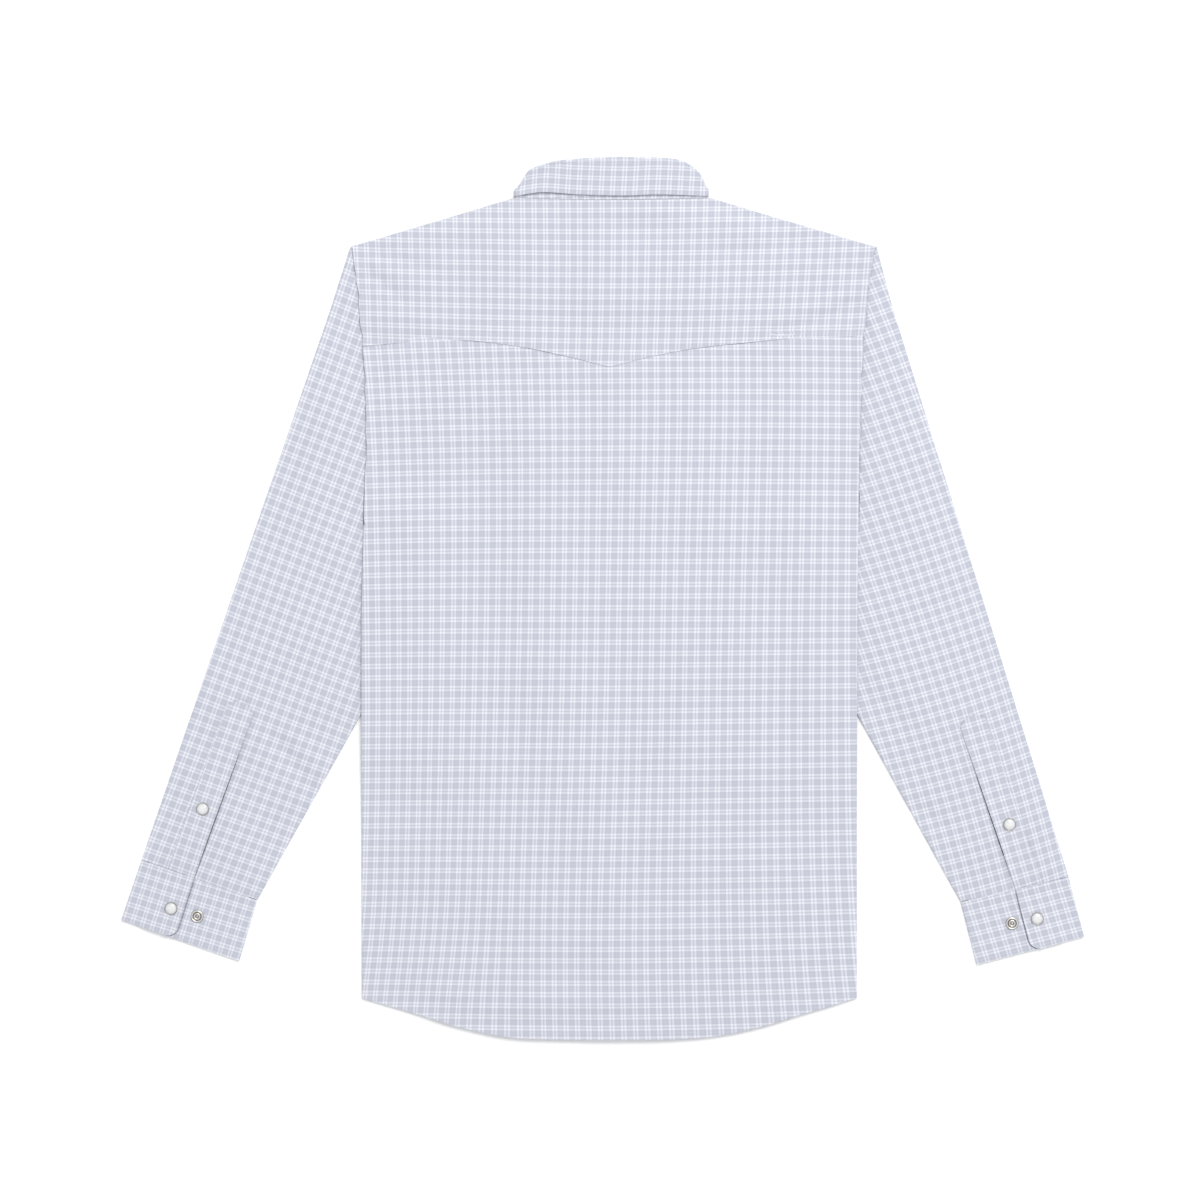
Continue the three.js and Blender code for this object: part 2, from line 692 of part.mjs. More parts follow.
function makeSleeve(side) {
  const { length, pointAt: onPlacket } = placketEdges(side);
  const slitStart = onPlacket(0, slitBehindEdge);
  const slitEnd = onPlacket(length, slitBehindEdge);
  const rowEnds = sleeveRows.map(({ inner, outer }, row) => {
    const isWrist = row === sleeveRows.length - 1;
    const outerEdge = outerFoldAt(side, outer);
    const innerEdge = isWrist ? side.cuffInnerTop : innerFoldAt(side, inner);
    return { outerEdge, innerEdge };
  });
  const outerOut = squareTo(side.shoulderTip, side.cuffOuterTop, side.sign);
  const rowAt = (row) => {
    const { outerEdge, innerEdge } = rowEnds[row];
    const before = rowEnds[Math.max(row - 1, 0)].innerEdge;
    const after = rowEnds[Math.min(row + 1, rowEnds.length - 1)].innerEdge;
    const innerOut = squareTo(before, after, -side.sign);
    const outerCore = { x: outerEdge.x - outerOut.x * foldReach, y: outerEdge.y - outerOut.y * foldReach };
    const innerCore = { x: innerEdge.x - innerOut.x * foldReach, y: innerEdge.y - innerOut.y * foldReach };
    return { outerCore, innerCore, innerOut };
  };
  const evenShares = (heights, index) => index / heights.length;
  const spread = (part, heights, shareOf) =>
    heights.map((height, index) => ({ part, height, share: shareOf(heights, index) }));
  const slitColumn = outerHeights.length;
  const stations = [
    ...spread('outer', outerHeights, evenShares),
    { part: 'slit', shift: -slitHalfWidth, height: slitHeight + slitHalfWidth },
    { part: 'slit', shift: slitHalfWidth, height: slitHeight - slitHalfWidth },
    ...spread('inner', innerHeights, (heights, index) => (index + 1) / heights.length),
    ...foldSteps.map((angle) => ({ part: 'innerFold', angle, height: armpitHeight })),
    ...spread('bottom', bottomHeights, (heights, index) => 1 - index / (heights.length - 1)),
    ...[...foldSteps].reverse().map((angle) => ({ part: 'outerFold', angle, height: shoulderTipHeight })),
  ];
  const rows = sleeveRows.length - 1;
  // On the first row the wall follows the armhole edge of the body
  const onRow = (row, share, height) => {
    const { outerCore, innerCore } = rowAt(row);
    if (row > 0) return between(outerCore, innerCore, share);
    const gap = height === armpitHeight ? foldReach + seamGap : armholeGap;
    const y = Math.min(height, outerCore.y);
    return { x: side.sign * (bodyHalfAt(side, y) + gap), y };
  };
  const pointAt = (column, row) => {
    const station = stations[column];
    const { outerCore, innerCore, innerOut } = rowAt(row);
    const width = Math.hypot(innerCore.x - outerCore.x, innerCore.y - outerCore.y);
    const slitShare = crossingShare(outerCore, innerCore, slitStart, slitEnd);
    const middle = layerHeight(0) + foldRadius;
    if (station.part === 'innerFold' || station.part === 'outerFold') {
      const isInner = station.part === 'innerFold';
      const core = isInner ? innerCore : outerCore;
      const out = isInner ? innerOut : outerOut;
      const reach = foldRadius * Math.cos(station.angle);
      const start = row === 0 ? onRow(0, 0, station.height) : core;
      const z = middle + foldRadius * Math.sin(station.angle);
      return new THREE.Vector3(start.x + out.x * reach, start.y + out.y * reach, z);
    }
    let share = station.share;
    if (station.part === 'outer') share *= slitShare - slitHalfWidth / width;
    if (station.part === 'slit') share = slitShare + station.shift / width;
    if (station.part === 'inner') share = lerp(slitShare + slitHalfWidth / width, 1, station.share);
    const point = onRow(row, share, station.height);
    const z = station.part === 'bottom' ? layerHeight(0) : sleeveTopAt(side, point);
    return new THREE.Vector3(point.x, point.y, z);
  };
  const isCloth = (column, row) => column !== slitColumn || row < slitFirstRow;
  // Going round outer to inner over the top turns the normals out only on one side
  const turned = (column, row) => pointAt(side.sign > 0 ? column : stations.length - 1 - column, row);
  const turnedCloth = (column, row) => {
    if (side.sign > 0) return isCloth(column, row);
    return isCloth(stations.length - 2 - column, row);
  };
  return clothWall({ columns: stations.length, rows, pointAt: turned, isRing: true, isCloth: turnedCloth });
}

// Tower placket: a band with a pointed end that lies on the sleeve
function makeSleevePlacket(side) {
  const { length, pointAt: onPlacket } = placketEdges(side);
  const columns = 4;
  const rows = 8;
  const pointAt = (column, row) => {
    const share = (side.sign < 0 ? columns - column : column) / columns;
    const top = length + placketTip * (1 - Math.abs(2 * share - 1));
    const point = onPlacket(lerp(seamGap * 2, top, row / rows), share * placketWidth);
    return new THREE.Vector3(point.x, point.y, sleeveTopAt(side, point) + layerPitch);
  };
  return clothWall({ columns, rows, pointAt });
}

// Cuffs: open bands whose overlap lies on the underlap
function cuffPointAt(side, across, down) {
  const top = between(side.cuffOuterTop, side.cuffInnerTop, across);
  const bottom = between(side.cuffOuterBottom, side.cuffInnerBottom, across);
  return between(top, bottom, down);
}

function overlapHeight(side, across) {
  const { far, near } = overlapRamp;
  return layerHeight(1) + layerPitch * easeUp(side.overlapShare - far, side.overlapShare - near, across);
}

function makeCuff(side) {
  const width = distanceBetween(side.cuffOuterTop, side.cuffInnerTop);
  const depth = distanceBetween(side.cuffOuterTop, side.cuffOuterBottom);
  const downs = [seamGap / depth, 0.3, 0.6, 1 - cuffCorner / depth, 0.92, 0.97, 1];
  const outShare = foldReach / width;
  const overlapEnd = (down) => {
    const turn = clamp((down * depth - depth + cuffCorner) / cuffCorner, 0, 1);
    return side.overlapShare - (cuffCorner / width) * (1 - Math.sqrt(1 - turn * turn * 0.98));
  };
  const underlapEnd = side.overlapShare - underlapReach / width;
  const stations = [
    ...[0, 0.13, 0.27, 0.5, 0.72, 1].map((share) => ({ part: 'overlap', share })),
    ...foldSteps.map((angle) => ({ part: 'outerFold', angle })),
    ...[0, 0.2, 0.4, 0.6, 0.8, 1].map((share) => ({ part: 'bottom', share })),
    ...[...foldSteps].reverse().map((angle) => ({ part: 'innerFold', angle })),
    ...[0, 0.2, 0.4, 0.6, 0.8, 1].map((share) => ({ part: 'underlap', share })),
  ];
  const middle = layerHeight(0) + foldRadius;
  const pointAt = (column, row) => {
    const station = stations[column];
    const down = downs[row];
    let across = 0;
    let z = middle;
    if (station.part === 'overlap') {
      across = lerp(overlapEnd(down), outShare, station.share);
      z = overlapHeight(side, across);
    } else if (station.part === 'underlap') {
      across = lerp(1 - outShare, underlapEnd, station.share);
      z = layerHeight(1);
    } else if (station.part === 'bottom') {
      across = lerp(outShare, 1 - outShare, station.share);
      z = layerHeight(0);
    } else {
      const reach = (foldRadius / width) * Math.cos(station.angle);
      across = station.part === 'outerFold' ? outShare - reach : 1 - outShare + reach;
      z = middle + foldRadius * Math.sin(station.angle);
    }
    const point = cuffPointAt(side, across, down);
    return new THREE.Vector3(point.x, point.y, z);
  };
  const columns = stations.length - 1;
  const turned = (column, row) => pointAt(side.sign < 0 ? columns - column : column, row);
  return clothWall({ columns, rows: downs.length - 1, pointAt: turned });
}

function distanceBetween(start, end) {
  return Math.hypot(end.x - start.x, end.y - start.y);
}

// Snaps
function makeSnapCap() {
  const profile = [
    new THREE.Vector2(0, 0),
    new THREE.Vector2(snapRadius, 0),
    new THREE.Vector2(snapRadius, snapRim),
  ];
  const domeSteps = 4;
  for (let step = 1; step < domeSteps; step += 1) {
    const angle = (step / domeSteps) * (Math.PI / 2);
    const out = (snapRadius - snapRimStep) * Math.cos(angle);
    const up = snapRim + (snapHeight - snapRim) * Math.sin(angle);
    profile.push(new THREE.Vector2(out, up));
  }
  profile.push(new THREE.Vector2(0, snapHeight));
  return new THREE.LatheGeometry(profile, 18);
}

// Stud of an open snap: a flat outer ring, a groove and a raised post with a hollow head
function makeStud() {
  const rows = [
    { out: 0, up: 0 },
    { out: studRadius, up: 0 },
    { out: studRadius, up: 0.7 },
    { out: 4.9, up: 1.1 },
    { out: 4.0, up: 0.8 },
    { out: 3.3, up: 0.8 },
    { out: 3.1, up: 1.9 },
    { out: 2.2, up: 2.1 },
    { out: 1.5, up: 1.2 },
    { out: 0, up: 1.2 },
  ];
  return new THREE.LatheGeometry(rows.map(({ out, up }) => new THREE.Vector2(out, up)), 18);
}

// Turns a lathed piece upright and seats it on a surface, square to it
function seatOn(mesh, surfaceAt, x, y) {
  const step = 2;
  const slopeX = (surfaceAt(x + step, y) - surfaceAt(x - step, y)) / (2 * step);
  const slopeY = (surfaceAt(x, y + step) - surfaceAt(x, y - step)) / (2 * step);
  const up = new THREE.Vector3(-slopeX, -slopeY, 1).normalize();
  mesh.quaternion.setFromUnitVectors(new THREE.Vector3(0, 1, 0), up);
  mesh.position.set(x, y, surfaceAt(x, y));
  mesh.position.addScaledVector(up, clothThickness / 2 + snapSeatGap);
  return mesh;
}

// Materials
const clothColour = new THREE.MeshStandardMaterial({ color: 0xd3d8e6, roughness: 0.85, metalness: 0 });
const pearlColour = new THREE.MeshStandardMaterial({ color: 0xf2f2ee, roughness: 0.25, metalness: 0 });
const metalColour = new THREE.MeshStandardMaterial({ color: 0xb9b6b0, roughness: 0.3, metalness: 1 });

const wasm = await Module();
wasm.setup();

const shirt = new THREE.Group();

function addPiece(name, geometry, material) {
  const mesh = new THREE.Mesh(geometry, material);
  mesh.name = name;
  shirt.add(mesh);
  return mesh;
}

addPiece('back', makeBack(), clothColour);
addPiece('back_yoke', makeBackYoke(), clothColour);
addPiece('front_left', makeFront(sides[0], frontLeftAt), clothColour);
addPiece('front_right', makeFront(sides[1], frontRightAt), clothColour);
addPiece('front_placket', makeFrontBand(wasm), clothColour);
addPiece('collar_stand', makeCollarStand(), clothColour);
addPiece('collar_fall', makeCollarFall(), clothColour);

frontSnapHeights.forEach((y, index) => {
  const disc = new THREE.CylinderGeometry(flatSnapRadius, flatSnapRadius, clothThickness, 14);
  const snap = addPiece(`front_snap_${index + 1}`, disc, pearlColour);
  snap.rotation.x = Math.PI / 2;
  snap.position.set(0, y, clothThickness / 2);
});

for (const side of sides) {
  addPiece(`sleeve_${side.name}`, makeSleeve(side), clothColour);
  addPiece(`sleeve_placket_${side.name}`, makeSleevePlacket(side), clothColour);
  addPiece(`cuff_${side.name}`, makeCuff(side), clothColour);

  const onPlacket = placketEdges(side).pointAt(side.placketSnapAlong, placketSnapAcross);
  const placketSurface = (x, y) => sleeveTopAt(side, { x, y }) + layerPitch;
  const placketSnap = addPiece(`placket_snap_${side.name}`, makeSnapCap(), pearlColour);
  seatOn(placketSnap, placketSurface, onPlacket.x, onPlacket.y);

  const capSpot = cuffPointAt(side, side.capSeat.across, side.capSeat.down);
  const cuffSnap = addPiece(`cuff_snap_${side.name}`, makeSnapCap(), pearlColour);
  seatOn(cuffSnap, () => layerHeight(2), capSpot.x, capSpot.y);

  const studSpot = cuffPointAt(side, side.studSeat.across, side.studSeat.down);
  const stud = addPiece(`cuff_stud_${side.name}`, makeStud(), metalColour);
  seatOn(stud, () => layerHeight(1), studSpot.x, studSpot.y);
}

// The origin is on the floor, under the middle of the shirt's outline
const outline = new THREE.Box3().setFromObject(shirt);
const middle = outline.getCenter(new THREE.Vector3());
shirt.position.set(-middle.x, -middle.y, -outline.min.z);

export default shirt;
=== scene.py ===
import math

import bpy
import numpy as np
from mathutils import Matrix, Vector


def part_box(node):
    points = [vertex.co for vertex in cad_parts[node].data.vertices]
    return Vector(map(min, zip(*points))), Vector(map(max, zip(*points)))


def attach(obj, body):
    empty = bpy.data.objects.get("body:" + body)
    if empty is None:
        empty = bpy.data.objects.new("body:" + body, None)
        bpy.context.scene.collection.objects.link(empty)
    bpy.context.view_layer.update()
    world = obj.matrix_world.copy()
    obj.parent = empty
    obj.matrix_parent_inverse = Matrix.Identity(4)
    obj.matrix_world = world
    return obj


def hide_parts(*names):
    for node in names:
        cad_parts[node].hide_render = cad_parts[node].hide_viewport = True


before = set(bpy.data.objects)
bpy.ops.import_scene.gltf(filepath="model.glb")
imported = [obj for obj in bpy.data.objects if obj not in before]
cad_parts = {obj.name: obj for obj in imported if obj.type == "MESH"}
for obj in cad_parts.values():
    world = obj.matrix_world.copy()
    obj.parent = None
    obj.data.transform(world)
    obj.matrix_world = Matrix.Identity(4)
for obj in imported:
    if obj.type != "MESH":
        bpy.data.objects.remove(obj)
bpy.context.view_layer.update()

# Sizes are millimetres in the garment's own frame: x from the middle of the back towards the
# wearer's right, y up from the lowest point of the hem, z up from the floor.

cloth = {
    "wall": 0.7,          # thickness of each shown layer
    "layerPitch": 1.5,    # height from one layer to the next
    "lowestLayer": 0.6,   # middle of the layer on the floor
    "leastStep": 0.95,    # least height between layers where a crease dips
    "seamGap": 0.3,
    "foldSteps": 6,       # faces round a pressed fold
}
foldRadius = cloth["layerPitch"] / 2
foldReach = foldRadius + cloth["wall"] / 2

body = {
    "edgeHeights": [0, 290, 396, 505, 541, 590, 640, 689, 731],
    "leftEdge": [227.7, 228.4, 228.2, 225.3, 223.8, 224.0, 227.0, 231.4, 237.0],
    "rightEdge": [227.7, 227.7, 228.0, 229.4, 230.2, 231.2, 233.3, 237.8, 244.6],
    "hemOut": [0, 75, 110, 142, 178, 206, 228],
    "hemHeight": [0, 1.3, 5.5, 13, 24, 32, 38.6],
    "seamOut": [0, 33, 75, 132, 172, 226],
    "leftSeam": [619.2, 627.4, 636.5, 643.8, 643.0, 638.5],
    "rightSeam": [619.2, 627.4, 635.8, 642.2, 645.8, 647.7],
    "armpit": 505,
    "wrapTop": 474,
    "wrapRun": 7,
    "neckCornerHeight": 774.6,
    "shoulderTipHeight": 730.5,
    "backNeckHeight": 772.6,
    "backNeckRise": 2.2,
    "frontNeckHalf": 87.6,
    "frontNeckDrop": 75,
    "sideNeckHeight": 775,
    "topSnapHeight": 655,
    "crown": 3.1,         # loft of the back in its middle
    "crownReach": 240,
    "crownPower": 2.2,
    "crownShoulderRun": 28,
}

sides = {
    "left": {
        "sign": -1, "neckCorner": 88.8, "shoulderTip": (-236.9, 730.5),
        "cuffOuterTop": (-430.6, 165.6), "cuffInnerTop": (-324.3, 128.8),
        "cuffInnerBottom": (-340.9, 72.7), "cuffOuterBottom": (-449.4, 110.4),
        "overlapShare": 0.4525, "capSeat": (0.353, 0.57), "studSeat": (0.572, 0.555),
        "placketTop": (-327.4, 301.1), "placketSnapAlong": 62.7,
    },
    "right": {
        "sign": 1, "neckCorner": 93.4, "shoulderTip": (243.3, 730.5),
        "cuffOuterTop": (422.7, 150), "cuffInnerTop": (323.4, 127),
        "cuffInnerBottom": (338.1, 69), "cuffOuterBottom": (437, 94.8),
        "overlapShare": 0.4935, "capSeat": (0.372, 0.53), "studSeat": (0.6, 0.51),
        "placketTop": (322.5, 288.1), "placketSnapAlong": 58.4,
    },
}

snapLow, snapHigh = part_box("front_snap_1")
shift = (snapLow + snapHigh) * 500 - Vector((0, body["topSnapHeight"], 0))
shift.z = 0


# Curves and outlines

def between(start, end, share):
    return np.asarray(start, float) + (np.asarray(end, float) - np.asarray(start, float)) * share


def unitAcross(start, end, sign):
    run = np.asarray(end, float) - np.asarray(start, float)
    return np.array([-sign * run[1], sign * run[0]]) / np.hypot(*run)


def awayFrom(x, y, start, end):
    across = unitAcross(start, end, 1)
    return np.abs((x - start[0]) * across[0] + (y - start[1]) * across[1])


def span(start, end):
    return float(np.hypot(*(np.array(end) - start)))


def ease(low, high, value):
    share = np.clip((value - low) / (high - low), 0, 1)
    return share * share * (3 - 2 * share)


def curveThrough(xs, ys, at):
    xs, ys, at = (np.asarray(values, float) for values in (xs, ys, at))
    slopes = np.gradient(ys)
    slopes[1:-1] = (ys[2:] - ys[:-2]) / (xs[2:] - xs[:-2])
    slopes[0] = (ys[1] - ys[0]) / (xs[1] - xs[0])
    slopes[-1] = (ys[-1] - ys[-2]) / (xs[-1] - xs[-2])
    low = np.clip(np.searchsorted(xs, at) - 1, 0, len(xs) - 2)
    span = xs[low + 1] - xs[low]
    t = np.clip((at - xs[low]) / span, 0, 1)
    straight = ys[low] + (ys[low + 1] - ys[low]) * t * t * (3 - 2 * t)
    return straight + span * t * (1 - t) * ((1 - t) * slopes[low] - t * slopes[low + 1])


def bySide(x, left, right):
    return np.where(np.asarray(x) < 0, left, right)


def halfWidth(x, y):
    heights = body["edgeHeights"]
    return bySide(x, np.interp(y, heights, body["leftEdge"]), np.interp(y, heights, body["rightEdge"]))


def hemAt(x):
    return curveThrough(body["hemOut"], body["hemHeight"], np.abs(x))


def yokeSeamAt(x):
    out = np.abs(x)
    left = curveThrough(body["seamOut"], body["leftSeam"], out)
    return bySide(x, left, curveThrough(body["seamOut"], body["rightSeam"], out))


def shoulderAt(x):
    corner = bySide(x, sides["left"]["neckCorner"], sides["right"]["neckCorner"])
    tip = bySide(x, -sides["left"]["shoulderTip"][0], sides["right"]["shoulderTip"][0])
    fall = (body["neckCornerHeight"] - body["shoulderTipHeight"]) / (tip - corner)
    return body["neckCornerHeight"] - (np.abs(x) - corner) * fall


def neckShare(x):
    return np.minimum(np.abs(np.asarray(x) - collar["centre"]) / body["frontNeckHalf"], 1)


def backNeckAt(x):
    return body["backNeckHeight"] + body["backNeckRise"] * neckShare(x) ** 2


def frontNeckAt(x):
    return body["sideNeckHeight"] - body["frontNeckDrop"] * (1 - neckShare(x) ** 2)


# Creases are soft ridges, or troughs where the lift is negative. Ends that run into a seam stay open.

creaseDepth = 1.5


def creaseLift(x, y, rows):
    total = np.zeros(np.shape(x))
    for row in rows:
        path = np.array(row["path"], float)
        lengths = np.hypot(*np.diff(path, axis=0).T)
        nearest = np.full(np.shape(x), 1e6)
        along = np.zeros(np.shape(x))
        for index, length in enumerate(lengths):
            stepX, stepY = (path[index + 1] - path[index]) / length
            fromX, fromY = x - path[index][0], y - path[index][1]
            run = np.clip(fromX * stepX + fromY * stepY, 0, length)
            away = np.hypot(fromX - run * stepX, fromY - run * stepY)
            along = np.where(away < nearest, (lengths[:index].sum() + run) / lengths.sum(), along)
            nearest = np.minimum(away, nearest)
        openStart, openEnd = row.get("open", (False, False))
        fade = np.ones(np.shape(x))
        if not openStart:
            fade = fade * ease(0, 0.4, along)
        if not openEnd:
            fade = fade * (1 - ease(0.6, 1, along))
        total += creaseDepth * row["lift"] * fade * np.exp(-(nearest / row["width"]) ** 2)
    return total


def ripple(x, y, waves):
    total = np.zeros(np.shape(x))
    for height, length, angle, start in waves:
        turn = math.radians(angle)
        run = x * math.cos(turn) + y * math.sin(turn)
        waver = 0.6 * np.sin(run / length * 2.3 + x / 97)
        total += height * np.sin(2 * math.pi * run / length + start + waver)
    return total


# How the layers rise over the tucked sleeves, the front of the collar and the snap band

collar = {
    "centre": 1.8,
    "core": 86.9,
    "frontHeight": 35,
    "sideHeight": 9.6,
    "standShare": 0.7,
    "backRoll": 1.6,
    "backRollReach": 100,
    "point": (72, 690),
    "frontGap": 8,
    "foldOut": [-86.9, -82.5, -76.2, -64, -47, -20, 4, 50, 64, 77.8, 84.2, 86.9],
    "foldHeight": [783, 789.5, 799.5, 804.8, 808.6, 810.8, 811.8, 810.8, 808.8, 800.7, 792, 784],
    "edgeOut": [-86.9, -64, -32, 13, 43, 86.9],
    "edgeHeight": [776.4, 779.8, 777.6, 776.4, 777.6, 776.4],
}

band = {"half": 19, "ramp": (22, 38), "snaps": 7, "lowestSnap": 85}

# Where each rise starts and ends: heights, insets from the body's edge and distances from its middle
rises = {
    "sleeveStart": (185, 285), "sleeveEnd": (470, 520), "sleeveInset": (37, 135),
    "collarHeight": (655, 688), "collarOut": (100, 140),
}


def sleeveRise(x, y):
    inset = halfWidth(x, y) - np.abs(x)
    along = ease(*rises["sleeveStart"], y) * (1 - ease(*rises["sleeveEnd"], y))
    return 2 * cloth["layerPitch"] * along * (1 - ease(*rises["sleeveInset"], inset))


def collarRise(x, y):
    along = ease(*rises["collarHeight"], y)
    return cloth["layerPitch"] * along * (1 - ease(*rises["collarOut"], np.abs(x)))


def bandRise(x):
    return cloth["layerPitch"] * (1 - ease(*band["ramp"], np.abs(x)))


def frontBaseAt(x, y):
    return cloth["lowestLayer"] + sleeveRise(x, y) + collarRise(x, y)


def backAt(x, y):
    out = np.minimum(np.abs(x) / body["crownReach"], 1)
    crown = body["crown"] * (1 - out ** body["crownPower"])
    level = cloth["lowestLayer"] + cloth["layerPitch"] + sleeveRise(x, y) + collarRise(x, y)
    return level + crown * ease(0, body["crownShoulderRun"], shoulderAt(x) - y)


# Cloth walls

def toScene(points):
    return (np.asarray(points, float).reshape(-1, 3) + np.array(shift)) * 0.001


def meshPiece(name, points, faces, material, uvs=None, sharpAngle=50):
    mesh = bpy.data.meshes.new(name)
    mesh.from_pydata(toScene(points).tolist(), [], [list(map(int, face)) for face in faces])
    if uvs is not None:
        layer = mesh.uv_layers.new(name="grain")
        corners = np.empty(len(mesh.loops), dtype=np.int32)
        mesh.loops.foreach_get("vertex_index", corners)
        layer.data.foreach_set("uv", np.asarray(uvs, float).reshape(-1, 2)[corners].ravel())
    mesh.polygons.foreach_set("use_smooth", np.ones(len(mesh.polygons), dtype=bool))
    mesh.set_sharp_from_angle(angle=math.radians(sharpAngle))
    mesh.materials.append(material)
    mesh.update()
    piece = bpy.data.objects.new(name, mesh)
    bpy.context.scene.collection.objects.link(piece)
    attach(piece, "root")
    return piece


# A wall of even thickness round a grid of middle points, rows x columns x 3. Cells outside kept stay open.
def clothPiece(name, middle, grain, ring=False, kept=None):
    rows, columns = middle.shape[:2]
    if ring:
        wide = np.concatenate([middle[:, -1:], middle, middle[:, :1]], axis=1)
    else:
        wide = np.pad(middle, ((0, 0), (1, 1), (0, 0)), mode="edge")
    tall = np.pad(middle, ((1, 1), (0, 0), (0, 0)), mode="edge")
    normal = np.cross(wide[:, 2:] - wide[:, :-2], tall[2:] - tall[:-2])
    normal /= np.maximum(np.linalg.norm(normal, axis=2, keepdims=True), 1e-9)
    offset = normal * cloth["wall"] / 2
    points = np.concatenate([(middle + offset).reshape(-1, 3), (middle - offset).reshape(-1, 3)])
    uvs = np.concatenate([grain.reshape(-1, 2)] * 2)
    cellColumns = columns if ring else columns - 1
    if kept is None:
        kept = np.ones((rows - 1, cellColumns), dtype=bool)
    index = np.arange(rows * columns).reshape(rows, columns)
    if ring:
        index = np.concatenate([index, index[:, :1]], axis=1)
    a, b, c, d = index[:-1, :-1], index[:-1, 1:], index[1:, 1:], index[1:, :-1]
    under = rows * columns
    quads = [np.stack([a, b, c, d], -1)[kept], np.stack([a, d, c, b], -1)[kept] + under]
    padded = np.pad(kept, 1)
    if ring:
        padded[1:-1, 0], padded[1:-1, -1] = kept[:, -1], kept[:, 0]
    borders = [
        (a, b, padded[:-2, 1:-1]), (b, c, padded[1:-1, 2:]),
        (c, d, padded[2:, 1:-1]), (d, a, padded[1:-1, :-2]),
    ]
    for start, end, neighbour in borders:
        rim = kept & ~neighbour
        quads.append(np.stack([start[rim], start[rim] + under, end[rim] + under, end[rim]], -1))
    quads = np.concatenate(quads)
    used, renumbered = np.unique(quads, return_inverse=True)
    faces = renumbered.reshape(quads.shape)
    return meshPiece(name, points[used], faces, checkCotton, uvs[used])


# Drift of the threads in repeats, over x and y in hundreds of mm. The terms go up in power: 1, x, y, xx ...
def bow(x, y, terms):
    powers = [(0, 0), (1, 0), (0, 1), (2, 0), (1, 1), (0, 2), (3, 0), (2, 1), (1, 2), (0, 3)]
    return sum(term * x ** powerX * y ** powerY for term, (powerX, powerY) in zip(terms, powers))


# The check follows the grain. A rule's turns are those across the two sets of stripes, clockwise from
# above. The threads waver by about half a millimetre, and by the rule's drift.
def grainOf(x, y, rule):
    repeatU, repeatV = rule.get("repeat", (10.4, 10.4))
    originX, originY = rule["line"]
    turnU, turnV = (math.radians(turn) for turn in rule["turn"])
    fromX, fromY = np.asarray(x) - originX, np.asarray(y) - originY
    fromX = fromX + 0.5 * np.sin(fromY / 61 + 1) + 0.4 * np.sin(fromX / 47 + fromY / 83)
    fromY = fromY + 0.5 * np.sin(fromX / 71 + 2) + 0.4 * np.sin(fromX / 131 - fromY / 59)
    u = (fromX * math.cos(turnU) - fromY * math.sin(turnU)) / repeatU
    v = (fromX * math.cos(turnV) - fromY * math.sin(turnV)) / repeatV
    driftU, driftV = rule.get("drift", ((0,), (0,)))
    x, y = (np.asarray(x) - originX) / 100, (np.asarray(y) - originY) / 100
    return np.stack([u + bow(x, y, driftU), v + bow(x, y, driftV)], -1)


# Shader graphs: Python's operators on a wire add Math nodes

class Wire:
    def __init__(self, graph, socket):
        self.graph = graph
        self.socket = socket

    def join(self, operation, first, second):
        return self.graph.node("ShaderNodeMath", {"operation": operation}, {0: first, 1: second})

    def __add__(self, other):
        return self.join("ADD", self, other)

    def __sub__(self, other):
        return self.join("SUBTRACT", self, other)

    def __rsub__(self, other):
        return self.join("SUBTRACT", other, self)

    def __mul__(self, other):
        return self.join("MULTIPLY", self, other)

    __radd__ = __add__
    __rmul__ = __mul__


class Graph:
    def __init__(self, tree):
        self.tree = tree

    def node(self, kind, settings=None, inputs=None, output=0):
        made = self.tree.nodes.new(kind)
        for name, value in (settings or {}).items():
            if name == "stops":
                self.setStops(made.color_ramp, value)
            else:
                setattr(made, name, value)
        for key, value in (inputs or {}).items():
            if isinstance(value, Wire):
                self.tree.links.new(value.socket, made.inputs[key])
            else:
                made.inputs[key].default_value = value
        return Wire(self, made.outputs[output]) if made.outputs else None

    def setStops(self, ramp, stops):
        while len(ramp.elements) < len(stops):
            ramp.elements.new(0.5)
        for element, (place, shade) in zip(ramp.elements, stops):
            element.position = place
            element.color = (shade, shade, shade, 1) if isinstance(shade, (int, float)) else (*shade, 1)


def newMaterial(name):
    material = bpy.data.materials.new(name)
    material.use_nodes = True
    material.node_tree.nodes.clear()
    return material, Graph(material.node_tree)


def finishMaterial(graph, inputs):
    surface = graph.node("ShaderNodeBsdfPrincipled", {}, inputs)
    graph.node("ShaderNodeOutputMaterial", {}, {"Surface": surface})


checkFinish = {
    "white": (0.732, 0.748, 0.8),
    "dyed": (0.465, 0.482, 0.555),
    "thinLine": 0.85,       # strength of the thin line beside the block's 1
    "blockMiddle": 0.8,     # the block is a little lighter along its middle
    "slub": 0.16,
    "threadsPerRepeat": 26,
    "weaveDepth": 0.00005,
    "roughness": 0.88,
    "sheen": 0.12,
}


